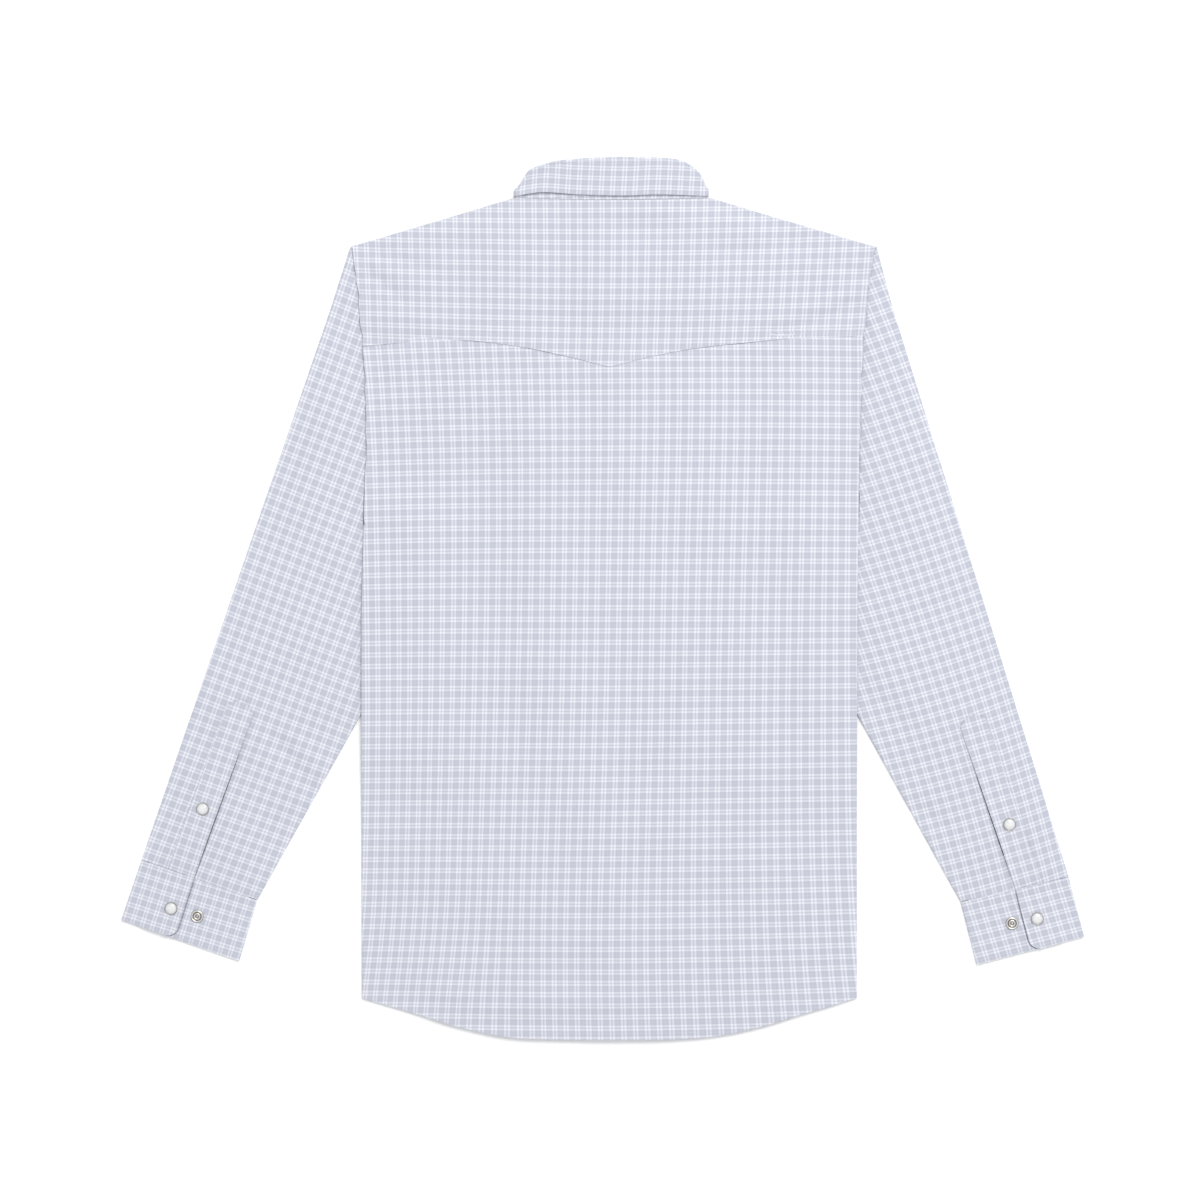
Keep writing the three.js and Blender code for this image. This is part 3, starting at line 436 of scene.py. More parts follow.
def makeCheckCotton():
    material, graph = newMaterial("checkCotton")
    uv = graph.node("ShaderNodeUVMap", {"uv_map": "grain"})
    across = graph.node("ShaderNodeSeparateXYZ", {}, {0: uv}, 0)
    along = graph.node("ShaderNodeSeparateXYZ", {}, {0: uv}, 1)
    stops = [
        (0.0, checkFinish["thinLine"]), (0.115, checkFinish["thinLine"]), (0.155, 0), (0.43, 0),
        (0.48, 1), (0.9, 1), (0.95, checkFinish["blockMiddle"]), (1.0, checkFinish["blockMiddle"]),
    ]

    def stripes(run, stretch):
        whole = graph.node("ShaderNodeMath", {"operation": "FRACT"}, {0: run + 0.5})
        fromLine = graph.node("ShaderNodeMath", {"operation": "ABSOLUTE"}, {0: whole - 0.5})
        dye = graph.node("ShaderNodeValToRGB", {"stops": stops}, {0: fromLine * 2})
        place = graph.node("ShaderNodeVectorMath", {"operation": "MULTIPLY"}, {0: uv, 1: stretch})
        slub = graph.node("ShaderNodeTexNoise", {}, {"Vector": place, "Scale": 1.0, "Detail": 2.0})
        return dye + (slub - 0.5) * checkFinish["slub"]

    warp = stripes(across, (18, 0.9, 1))
    weft = stripes(along, (0.9, 18, 1))
    turns = 2 * math.pi * checkFinish["threadsPerRepeat"] / 2
    sineU = graph.node("ShaderNodeMath", {"operation": "SINE"}, {0: across * turns})
    sineV = graph.node("ShaderNodeMath", {"operation": "SINE"}, {0: along * turns})
    overUnder = sineU * sineV
    dyed = (warp + weft) * 0.5 + (warp - weft) * overUnder * 0.3
    tint = graph.node("ShaderNodeMix", {"data_type": "RGBA", "clamp_factor": True}, {
        0: dyed, 6: (*checkFinish["white"], 1), 7: (*checkFinish["dyed"], 1),
    }, 2)
    fuzz = graph.node("ShaderNodeTexNoise", {}, {"Vector": uv, "Scale": 9.0, "Detail": 3.0})
    bump = graph.node("ShaderNodeBump", {}, {
        "Strength": 0.5, "Distance": checkFinish["weaveDepth"], "Height": overUnder * 0.5 + fuzz,
    })
    finishMaterial(graph, {
        "Base Color": tint, "Normal": bump, "Roughness": checkFinish["roughness"],
        "Sheen Weight": checkFinish["sheen"], "Sheen Roughness": 0.5, "Specular IOR Level": 0.25,
    })
    return material


checkCotton = makeCheckCotton()
print("materials made")


# Back: one wall from the hem to just under the yoke, turned round the side folds

backSet = {
    "step": 3.0,
    "width": 456,
    "height": 640,
    "widthHeight": 300,     # where the first guess of the width is taken
    "underYoke": 6,
    "dip": (0.68, 0.12),    # how far the strip under the yoke lies below it, and more in the middle
    "dipMiddle": (170, 90),
    "grain": {
        "line": (-2.3, 408.5), "turn": (1.3, 89.6), "repeat": (10.4, 10.45),
        "drift": ((-0.134, 0.135, -0.034, -0.08, -0.045, 0.052, 0, 0.054, -0.037, 0.019),
                  (0.021, -0.046, 0.058, -0.028, 0, -0.025, 0.011, -0.017, 0.001, -0.01)),
    },
    "lean": {"most": 0.065, "below": 170, "full": 20, "leftOf": (-150, -60)},   # of the grain, lower left
    "creases": [
        {"path": [(195.5, 406.6), (176.2, 368.0), (167.9, 331.2), (156.9, 294.4), (146.7, 255.8)],
         "lift": -1.3, "width": 8},
        {"path": [(208.4, 401.1), (189.1, 360.6), (180.8, 322.0), (169.7, 285.2)], "lift": 1.0, "width": 9},
        {"path": [(-29.9, 399.3), (-45.5, 368.0), (-59.3, 322.0), (-75.9, 276.0), (-85.1, 239.2),
                  (-102.6, 189.5)],
         "lift": -1.2, "width": 8},
        {"path": [(-42.8, 403.0), (-58.4, 362.5), (-72.2, 318.3), (-89.7, 270.5)],
         "lift": 0.9, "width": 10},
        {"path": [(74.1, 368.0), (55.7, 312.8), (46.5, 266.8), (32.7, 230.0), (9.7, 187.7)],
         "lift": -1.1, "width": 8},
        {"path": [(86.9, 358.8), (68.5, 305.4), (59.3, 261.3)], "lift": 0.8, "width": 10},
        {"path": [(189.1, 277.8), (180.8, 220.8), (185.4, 173.0)], "lift": -0.7, "width": 8},
        {"path": [(-176.2, 46.9), (-146.7, 42.3), (-111.8, 38.6)], "lift": 0.8, "width": 8},
        {"path": [(-105.3, 40.5), (-59.3, 38.6), (-4.1, 34.0), (74.1, 40.5)], "lift": 0.8, "width": 9},
        {"path": [(-165.1, 25.8), (-114.5, 18.4), (-59.3, 15.6), (0.5, 13.8)], "lift": -0.6, "width": 8},
        {"path": [(-40.0, 113.2), (-10.6, 111.3), (22.5, 110.4)], "lift": -0.6, "width": 8},
        {"path": [(-227.7, 588.8), (-209.3, 605.4), (-213.0, 633.0)],
         "lift": -0.9, "width": 8, "open": (True, False)},
        {"path": [(-154.1, 571.3), (-119.1, 567.6), (-86.0, 570.4)], "lift": -0.5, "width": 9},
        {"path": [(-5.1, 526.2), (-1.4, 478.4), (-3.2, 436.1)], "lift": -0.6, "width": 14},
        {"path": [(217.6, 533.6), (208.4, 478.4), (213.9, 432.4)], "lift": -0.7, "width": 10},
        {"path": [(-214.8, 524.4), (-192.7, 485.8), (-155.9, 404.8)], "lift": 0.5, "width": 14},
        {"path": [(213.9, 524.4), (166.1, 469.2), (147.7, 430.6)], "lift": 0.5, "width": 14},
    ],
    "waves": [
        (0.35, 142, 12, 0.4), (0.3, 97, 68, 1.9), (0.22, 61, -34, 3.1), (0.16, 43, 100, 0.7),
    ],
}

armhole = {
    "lip": 1.3,             # how far the body's edge stands up
    "lipRun": 9,
    "wander": 0.8,          # how far the sewn edge strays from its line
    "sink": 0.5,            # how far the sleeve lies down beside the edge
    "sinkRun": 1.5,
    "tuck": 4,              # how far the sleeve runs on under the edge
    "tuckFade": 14,
    "pucker": 0.62,
    "puckerRun": 8,
    "puckerStart": (495, 530),
}


# Raised edge of the body where it is sewn over the sleeve
def armholeLip(x, y):
    inset = halfWidth(x, y) - np.abs(x)
    along = ease(body["armpit"] - 4, body["armpit"] + 10, y)
    return armhole["lip"] * along * (1 - ease(0, armhole["lipRun"], inset))


def edgeWander(y):
    waves = np.sin(y / 5.7 + 1) + 0.7 * np.sin(y / 3.1) + 0.5 * np.sin(y / 12.4 + 2)
    return armhole["wander"] * waves / 2 * ease(body["armpit"] + 14, body["armpit"] + 34, y)


def pucker(x, y, phase):
    away = np.abs(halfWidth(x, y) - np.abs(x))
    waves = np.sin(y / 2.7 + phase) + 0.7 * np.sin(y / 4.3 + 2.1 * phase) + 0.5 * np.sin(y / 8.1)
    fade = np.exp(-(away / armhole["puckerRun"]) ** 2) * ease(*armhole["puckerStart"], y)
    return armhole["pucker"] * waves * fade


def backShownAt(x, y):
    moved = creaseLift(x, y, backSet["creases"]) + ripple(x, y, backSet["waves"])
    inset = halfWidth(x, y) - np.abs(x)
    moved = moved * ease(0, 22, inset) + pucker(x, y, 0.4) * 0.5
    base = backAt(x, y)
    room = base - frontBaseAt(x, y) - 2 * bandRise(x) - cloth["leastStep"]
    return base + np.maximum(moved, -np.maximum(room, 0)) + armholeLip(x, y)


def makeBack():
    columns = round(backSet["width"] / backSet["step"])
    rows = round(backSet["height"] / backSet["step"])
    share = np.linspace(-1, 1, columns + 1)[None, :]
    up = np.linspace(0, 1, rows + 1)[:, None]
    x = share * halfWidth(share, backSet["widthHeight"])
    for attempt in range(3):
        y = hemAt(x) + (yokeSeamAt(x) + backSet["underYoke"] - hemAt(x)) * up
        inset = foldReach * (1 - ease(body["wrapTop"] - 2, body["wrapTop"] + 8, y)) + edgeWander(y)
        x = share * (halfWidth(share, y) - inset)
    z = backShownAt(x, y)
    dip, moreDip = backSet["dip"]
    dip = dip + moreDip * ease(*backSet["dipMiddle"], np.abs(x))
    z = z - dip * ease(-1.8, 0.4, y - yokeSeamAt(x))
    core = np.stack([x, y, z], -1)
    turns = np.linspace(90, -90, cloth["foldSteps"] + 1)[1:]
    runs = np.linspace(0, body["wrapRun"], 4)[1:]
    left, right = [], []
    for sign, edge, strips in ((-1, core[:, 0], left), (1, core[:, -1], right)):
        for turn in np.radians(turns):
            strip = edge.copy()
            strip[:, 0] += sign * foldRadius * math.cos(turn)
            strip[:, 2] += foldRadius * (math.sin(turn) - 1)
            strips.append(strip)
        for run in runs:
            strip = edge.copy()
            strip[:, 0] -= sign * run
            strip[:, 2] = frontBaseAt(strip[:, 0], strip[:, 1])
            strips.append(strip)
    middle = np.concatenate([np.stack(left[::-1], 1), core, np.stack(right, 1)], axis=1)
    wrapCells = len(left)
    kept = np.ones((rows, middle.shape[1] - 1), dtype=bool)
    low = core[1:, 0, 1] < body["wrapTop"]
    kept[:, :wrapCells] = low[:, None]
    kept[:, -wrapCells:] = low[:, None]
    grain = grainOf(middle[..., 0], middle[..., 1], backSet["grain"])
    lean = backSet["lean"]
    share = ease(lean["below"], lean["full"], middle[..., 1]) * (1 - ease(*lean["leftOf"], middle[..., 0]))
    repeat = backSet["grain"]["repeat"][0]
    grain[..., 0] += lean["most"] * share * (lean["below"] - middle[..., 1]) / repeat
    piece = clothPiece("shirt_back", middle, grain, kept=kept)
    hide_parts("back")


makeBack()
print("back made")


# Yoke: from its pointed seam over the shoulder folds to the front

yokeSet = {
    "step": 2.6,
    "shoulderLength": 145,
    "neckWidth": 182,
    "height": 135,
    "frontRows": 7,
    "edgeRun": 14,          # distance from an edge in which the creases fade in
    "topRun": 16,
    "frontDepth": 28,
    "seamLift": 0.2,
    "seamRun": 16,
    "neckLift": 0.45,
    "neckRun": 4,
    "grain": {
        "line": (2.25, 735.1), "turn": (0.9, 89.6), "repeat": (10.4, 10.2),
        "drift": ((-0.161, -0.07, -0.005, -0.063, -0.233, 0.165),
                  (-0.118, -0.039, -0.34, 0.057, 0.099, -0.184)),
    },
    "creases": [
        {"path": [(-194.6, 723.1), (-165.1, 728.6), (-128.3, 730.5), (-98.9, 723.1)],
         "lift": -1.1, "width": 8},
        {"path": [(-185.4, 745.2), (-155.9, 748.9), (-119.1, 752.6), (-91.5, 748.9)],
         "lift": 0.8, "width": 7},
        {"path": [(-214.8, 725.0), (-183.5, 715.8), (-144.9, 706.6)],
         "lift": -0.9, "width": 5, "open": (True, False)},
        {"path": [(-216.7, 713.9), (-190.9, 701.0), (-152.3, 690.0)],
         "lift": 0.7, "width": 6, "open": (True, False)},
        {"path": [(-218.5, 702.9), (-194.6, 684.5), (-181.7, 671.6)],
         "lift": -0.9, "width": 5, "open": (True, False)},
        {"path": [(-218.5, 664.2), (-189.1, 666.1), (-150.4, 660.6)],
         "lift": 0.7, "width": 7, "open": (True, False)},
        {"path": [(-220.3, 644.0), (-174.3, 644.9), (-128.3, 640.3)],
         "lift": -0.8, "width": 5, "open": (True, False)},
        {"path": [(-22.5, 752.6), (28.1, 746.1), (81.4, 748.9)], "lift": -0.8, "width": 8},
        {"path": [(-36.3, 767.3), (28.1, 763.6), (83.3, 764.5)], "lift": 0.6, "width": 6},
        {"path": [(74.1, 739.7), (103.5, 725.0), (129.3, 726.8), (166.1, 732.3), (208.4, 726.8)],
         "lift": -1.1, "width": 8},
        {"path": [(83.3, 758.1), (110.9, 754.4), (156.9, 752.6)], "lift": 0.8, "width": 7},
        {"path": [(-8.7, 669.8), (28.1, 675.3), (83.3, 680.8)], "lift": 0.4, "width": 10},
        {"path": [(232.3, 676.2), (204.7, 665.2), (170.7, 656.0), (115.5, 642.2)],
         "lift": -1.1, "width": 6, "open": (True, False)},
        {"path": [(230.5, 690.0), (199.2, 678.0), (162.4, 668.8)],
         "lift": 0.8, "width": 6, "open": (True, False)},
        {"path": [(232.3, 706.6), (202.9, 713.9), (175.3, 723.1)],
         "lift": -0.6, "width": 6, "open": (True, False)},
    ],
    "waves": [(0.3, 118, 20, 1.1), (0.25, 73, 75, 0.2), (0.15, 44, -28, 2.2)],
}


def yokeShownAt(x, y):
    moved = creaseLift(x, y, yokeSet["creases"]) + ripple(x, y, yokeSet["waves"])
    inset = halfWidth(x, y) - np.abs(x)
    top = np.where(np.abs(x) < 88, backNeckAt(x), shoulderAt(x)) - y
    moved = moved * ease(0, yokeSet["edgeRun"], inset) * ease(0, yokeSet["topRun"], top)
    moved = moved + pucker(x, y, 2.6) * 0.5
    base = backAt(x, y)
    room = np.maximum(base - frontBaseAt(x, y) - cloth["leastStep"], 0)
    seam = yokeSet["seamLift"] * (1 - ease(0, yokeSet["seamRun"], y - yokeSeamAt(x)))
    seam = seam * (1 - 0.75 * ease(90, 170, np.abs(x)))
    neck = yokeSet["neckLift"] * (1 - ease(0, yokeSet["neckRun"], top)) * (1 - ease(66, 84, np.abs(x)))
    return base + np.maximum(moved, -room) + seam + neck + armholeLip(x, y)


def makeYoke():
    left, right = sides["left"], sides["right"]
    outer = round(yokeSet["shoulderLength"] / yokeSet["step"])
    centre = round(yokeSet["neckWidth"] / yokeSet["step"])
    shares = np.concatenate([
        -2 + np.arange(outer) / outer, np.linspace(-1, 1, centre + 1), 1 + (np.arange(outer) + 1) / outer,
    ])[None, :]
    isNeck = (np.abs(shares) < 1)

    def spreadX(y, cornerLeft, cornerRight):
        corner = np.where(shares < 0, cornerLeft, cornerRight)
        out = np.minimum(np.abs(shares), 1) * corner
        edge = halfWidth(shares, y) - edgeWander(y) * (1 - ease(-30, -12, y - body["shoulderTipHeight"]))
        out = out + np.maximum(np.abs(shares) - 1, 0) * (edge - corner)
        return np.sign(shares) * out

    rows = round(yokeSet["height"] / yokeSet["step"])
    up = np.linspace(0, 1, rows + 1)[:, None]
    x = spreadX(np.full((1, 1), 690.0), left["neckCorner"], right["neckCorner"])
    for attempt in range(3):
        top = np.where(isNeck, backNeckAt(x), shoulderAt(x) - foldReach)
        y = yokeSeamAt(x) + (top - yokeSeamAt(x)) * up
        x = spreadX(y, left["neckCorner"], right["neckCorner"])
    core = np.stack([x, y, yokeShownAt(x, y)], -1)
    edge = core[-1]
    strips = []
    for turn in np.radians(np.linspace(90, -90, cloth["foldSteps"] + 1)[1:]):
        strip = edge.copy()
        strip[:, 1] += foldRadius * math.cos(turn)
        strip[:, 2] += foldRadius * (math.sin(turn) - 1)
        strips.append(strip)
    for run in np.linspace(0, yokeSet["frontDepth"], yokeSet["frontRows"] + 1)[1:]:
        half = np.full(1, body["frontNeckHalf"])
        for attempt in range(6):
            depth = (body["sideNeckHeight"] - shoulderAt(half) + foldReach + run) / body["frontNeckDrop"]
            half = body["frontNeckHalf"] * np.sqrt(1 - np.clip(depth, 0, 1))
        half = half + cloth["seamGap"]
        lowerX = spreadX(edge[:, 1] - run, half - collar["centre"], half + collar["centre"])[0]
        lowerY = shoulderAt(lowerX) - foldReach - run
        strips.append(np.stack([lowerX, lowerY, frontBaseAt(lowerX, lowerY)], -1))
    neckColumn = isNeck[0]
    for index, strip in enumerate(strips):
        strip[neckColumn] = edge[neckColumn] + np.array([0, 0.5 * (index + 1), 0])
    middle = np.concatenate([core, np.stack(strips)], axis=0)
    kept = np.ones((middle.shape[0] - 1, middle.shape[1] - 1), dtype=bool)
    kept[rows:, outer:outer + centre] = False
    grain = grainOf(middle[..., 0], middle[..., 1], yokeSet["grain"])
    piece = clothPiece("shirt_yoke", middle, grain, kept=kept)
    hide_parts("back_yoke")


makeYoke()
print("yoke made")


# Fronts, seen from underneath

frontSet = {
    "step": 5.0,
    "width": 250,
    "length": 700,
    "guessOut": 220,        # outer edge before the outline is known
    "hemRise": 2,
    "yokeLine": 28,
    "grain": {
        "left": {"line": (-4.0, 300), "turn": (0.4, 90.4)},
        "right": {"line": (3.1, 303), "turn": (-0.5, 89.5)},
    },
    "creases": [
        {"path": [(-150, 250), (-120, 330), (-60, 380)], "lift": 0.7, "width": 12},
        {"path": [(150, 180), (118, 260), (90, 300)], "lift": 0.7, "width": 13},
        {"path": [(-110, 520), (-80, 590)], "lift": 0.6, "width": 10},
        {"path": [(60, 460), (110, 540), (150, 590)], "lift": 0.6, "width": 12},
        {"path": [(-160, 80), (-90, 110)], "lift": 0.5, "width": 9},
    ],
}


def frontTopAt(x):
    return np.minimum(frontNeckAt(x), shoulderAt(x) - foldReach - frontSet["yokeLine"]) - cloth["seamGap"]


def makeFront(name):
    side = sides[name]
    sign = side["sign"]
    layers = 1 if name == "left" else 2
    inner = -band["half"]
    columns = round(frontSet["width"] / frontSet["step"])
    rows = round(frontSet["length"] / frontSet["step"])
    share = np.linspace(0, 1, columns + 1)[None, :]
    if sign > 0:
        share = share[:, ::-1]
    up = np.linspace(0, 1, rows + 1)[:, None]
    x = sign * (frontSet["guessOut"] + (inner - frontSet["guessOut"]) * share) + 0 * up
    for attempt in range(3):
        bottom = hemAt(x) + frontSet["hemRise"]
        y = bottom + (frontTopAt(x) - bottom) * up
        wrapped = 1 - ease(body["wrapTop"], body["wrapTop"] + 8, y)
        inset = (foldReach + body["wrapRun"] + cloth["seamGap"]) * wrapped + cloth["seamGap"]
        outer = halfWidth(sign, y) - inset
        x = sign * (outer + (inner - outer) * share)
    rise = np.clip(creaseLift(x, y, frontSet["creases"]), 0, 1)
    z = frontBaseAt(x, y) + layers * bandRise(x) + rise * ease(60, 100, halfWidth(x, y) - np.abs(x))
    middle = np.stack([x, y, z], -1)
    piece = clothPiece(f"shirt_front_{name}", middle, grainOf(x, y, frontSet["grain"][name]))
    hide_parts(f"front_{name}")


for sideName in sides:
    makeFront(sideName)


def makeFrontBand():
    across = np.linspace(-band["half"], band["half"], 9)[None, :]
    up = np.linspace(0, 1, 141)[:, None]
    bottom = hemAt(across) + frontSet["hemRise"]
    x = across + 0 * up
    y = bottom + (frontTopAt(across) - bottom) * up
    z = frontBaseAt(x, y)
    grain = grainOf(x, y, {"line": (0, 300), "turn": (0, 90)})
    piece = clothPiece("shirt_front_band", np.stack([x, y, z], -1), grain)
    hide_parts("front_placket")


makeFrontBand()
print("fronts made")


# Collar: a stand in a flattened loop and a fall that is turned down over it

collarLook = {
    "standGrain": {"line": (0, 776), "turn": (1, 89)},
    "drift": ((-0.06, -0.14, -1.67), (-0.02, 0, 1.2)),
    "backStep": 2.0,
    "repeat": 10.2,
    "grainStart": (1.5, -3),
    "grainLean": 0.11,
    "riseRows": 3,
    "foldRows": 9,
    "fallRows": 14,
    "standSink": 0.5,
    "edgeLift": 0.35,       # the turned-down edge stands off the yoke between these places
    "edgeRun": 7,
    "edgeStart": (-86, -78),
    "edgeEnd": (52, 70),
    "bump": {"lift": 3.4, "at": -78, "half": 6},   # and most at its left end
    "leftCrease": [{"path": [(-82, 785), (-46, 806)], "lift": -0.7, "width": 4, "open": (True, True)}],
}


def collarStations(leftEnd, rightEnd):
    pitch = cloth["layerPitch"]
    base = cloth["lowestLayer"] + pitch
    centre, core = collar["centre"], collar["core"]
    rows = []

    def addFront(xs, layers):
        for x in xs:
            rows.append((x, base + layers * float(bandRise(x)), 0, -1, 0))

    def addFold(sign, degrees):
        for degree in degrees:
            out, up = sign * math.cos(math.radians(degree)), math.sin(math.radians(degree))
            rows.append((centre + sign * core + out * foldRadius, base + foldRadius * (1 + up), out, up, 1))

    steps = np.linspace(-90, 90, cloth["foldSteps"] + 1)[1:-1]
    addFront(np.linspace(leftEnd, centre - core, 26), 1)
    addFold(-1, steps)
    for x in centre + np.linspace(-core, core, round(2 * core / collarLook["backStep"])):
        rows.append((x, float(backAt(x, backNeckAt(x))), 0, 1, 2))
    addFold(1, steps[::-1])
    addFront(np.linspace(centre + core, rightEnd, 26), 2)
    return np.array(rows).T


def collarHeights(x, part):
    out = np.clip(x - collar["centre"], -collar["core"], collar["core"])
    fold = curveThrough(collar["foldOut"], collar["foldHeight"], out)
    gap = cloth["seamGap"]
    frontSeam = frontNeckAt(x) + 2 * gap
    frontRise = collar["frontHeight"] + (collar["sideHeight"] - collar["frontHeight"]) * neckShare(x) ** 2
    seam = np.select([part == 2, part == 1], [backNeckAt(x) + gap, body["sideNeckHeight"] + gap], frontSeam)
    return seam, np.where(part == 0, frontSeam + frontRise, fold)


def makeStand():
    x, z, _, _, part = collarStations(band["half"], -band["half"])
    seam, fold = collarHeights(x, part)
    up = np.linspace(0, 1, 9)[:, None]
    y = seam + (fold - seam) * collar["standShare"] * up
    fromFold = collar["core"] - np.abs(x - collar["centre"])
    sunk = collarLook["standSink"] * (part == 2) * ease(0, 12, fromFold)
    middle = np.stack([x + 0 * up, y, z - sunk + 0 * up], -1)
    piece = clothPiece("shirt_collar_stand", middle, grainOf(middle[..., 0], y, collarLook["standGrain"]))
    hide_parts("collar_stand")


def fallShape():
    x, z, outX, outZ, part = collarStations(-collar["frontGap"], collar["frontGap"])
    seam, fold = collarHeights(x, part)
    isFront = part == 0
    base = cloth["lowestLayer"]
    lift = np.where(isFront, z - base, cloth["layerPitch"])
    reach = np.abs(x / collar["backRollReach"])
    roll = np.maximum(np.where(part == 2, collar["backRoll"] * (1 - reach ** 3), 0), lift / 2)
    start = seam + (fold - seam) * collar["standShare"] + 3 * cloth["seamGap"]
    rollY = fold - roll
    out = np.clip(x - collar["centre"], -collar["core"], collar["core"])
    edgeY = curveThrough(collar["edgeOut"], collar["edgeHeight"], out)
    edgeX = x.copy()
    count = int(np.argmax(part != 0))
    for sign, rows in ((-1, np.arange(count)), (1, len(x) - 1 - np.arange(count))):
        toPoint = 1 - np.arange(count) / (count - 1)
        sideX = collar["core"] * sign
        edgeX[rows] = collar["centre"] + sideX + (sign * collar["point"][0] - sideX) * toPoint
        neckEnd = body["sideNeckHeight"] + 1
        edgeY[rows] = neckEnd + (collar["point"][1] - neckEnd) * toPoint
    levels = []
    for share in np.linspace(0, 1, collarLook["riseRows"] + 1)[:-1]:
        levels.append((x, start + (rollY - start) * share, 0 * x))
    for turn in np.linspace(0, math.pi, collarLook["foldRows"]):
        levels.append((x, rollY + roll * math.sin(turn), roll * (1 - math.cos(turn))))
    for share in np.linspace(0, 1, collarLook["fallRows"] + 1)[1:]:
        offset = 2 * roll + (lift - 2 * roll) * share
        levels.append((x + (edgeX - x) * share, rollY + (edgeY - rollY) * share, offset))
    xs = np.stack([level[0] + outX * level[2] for level in levels])
    ys = np.stack([level[1] for level in levels])
    zs = np.stack([z + outZ * level[2] for level in levels])
    isOuter = (np.arange(len(levels)) >= collarLook["riseRows"] + collarLook["foldRows"])[:, None]
    isBack = (part == 2)[None, :] & isOuter
    zs = zs + np.where(isBack, creaseLift(xs, ys, collarLook["leftCrease"]), 0)
    bump = collarLook["bump"]
    raised = ease(*collarLook["edgeStart"], x) * (1 - ease(*collarLook["edgeEnd"], x))
    raised = raised + bump["lift"] * np.exp(-((x - bump["at"]) / bump["half"]) ** 2)
    nearEdge = np.where(isBack, 1 - ease(0, collarLook["edgeRun"], ys - edgeY), 0)
    zs = zs + collarLook["edgeLift"] * raised * nearEdge
    fromEdge = np.where(isOuter, ys - edgeY, 2 * fold - edgeY - ys)
    startU, startV = collarLook["grainStart"]
    along = x + collarLook["grainLean"] * fromEdge
    grain = np.stack([along - startU, fromEdge - startV], -1) / collarLook["repeat"]
    for axis, terms in enumerate(collarLook["drift"]):
        grain[..., axis] += bow(xs / 100, (ys - body["sideNeckHeight"]) / 100, terms)
    return np.stack([xs, ys, zs], -1), grain


def makeFall():
    middle, grain = fallShape()
    piece = clothPiece("shirt_collar_fall", middle, grain)
    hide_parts("collar_fall")


makeStand()
makeFall()
print("collar made")


# Sleeves: flattened tubes between an outer and an inner fold, slit above the cuff

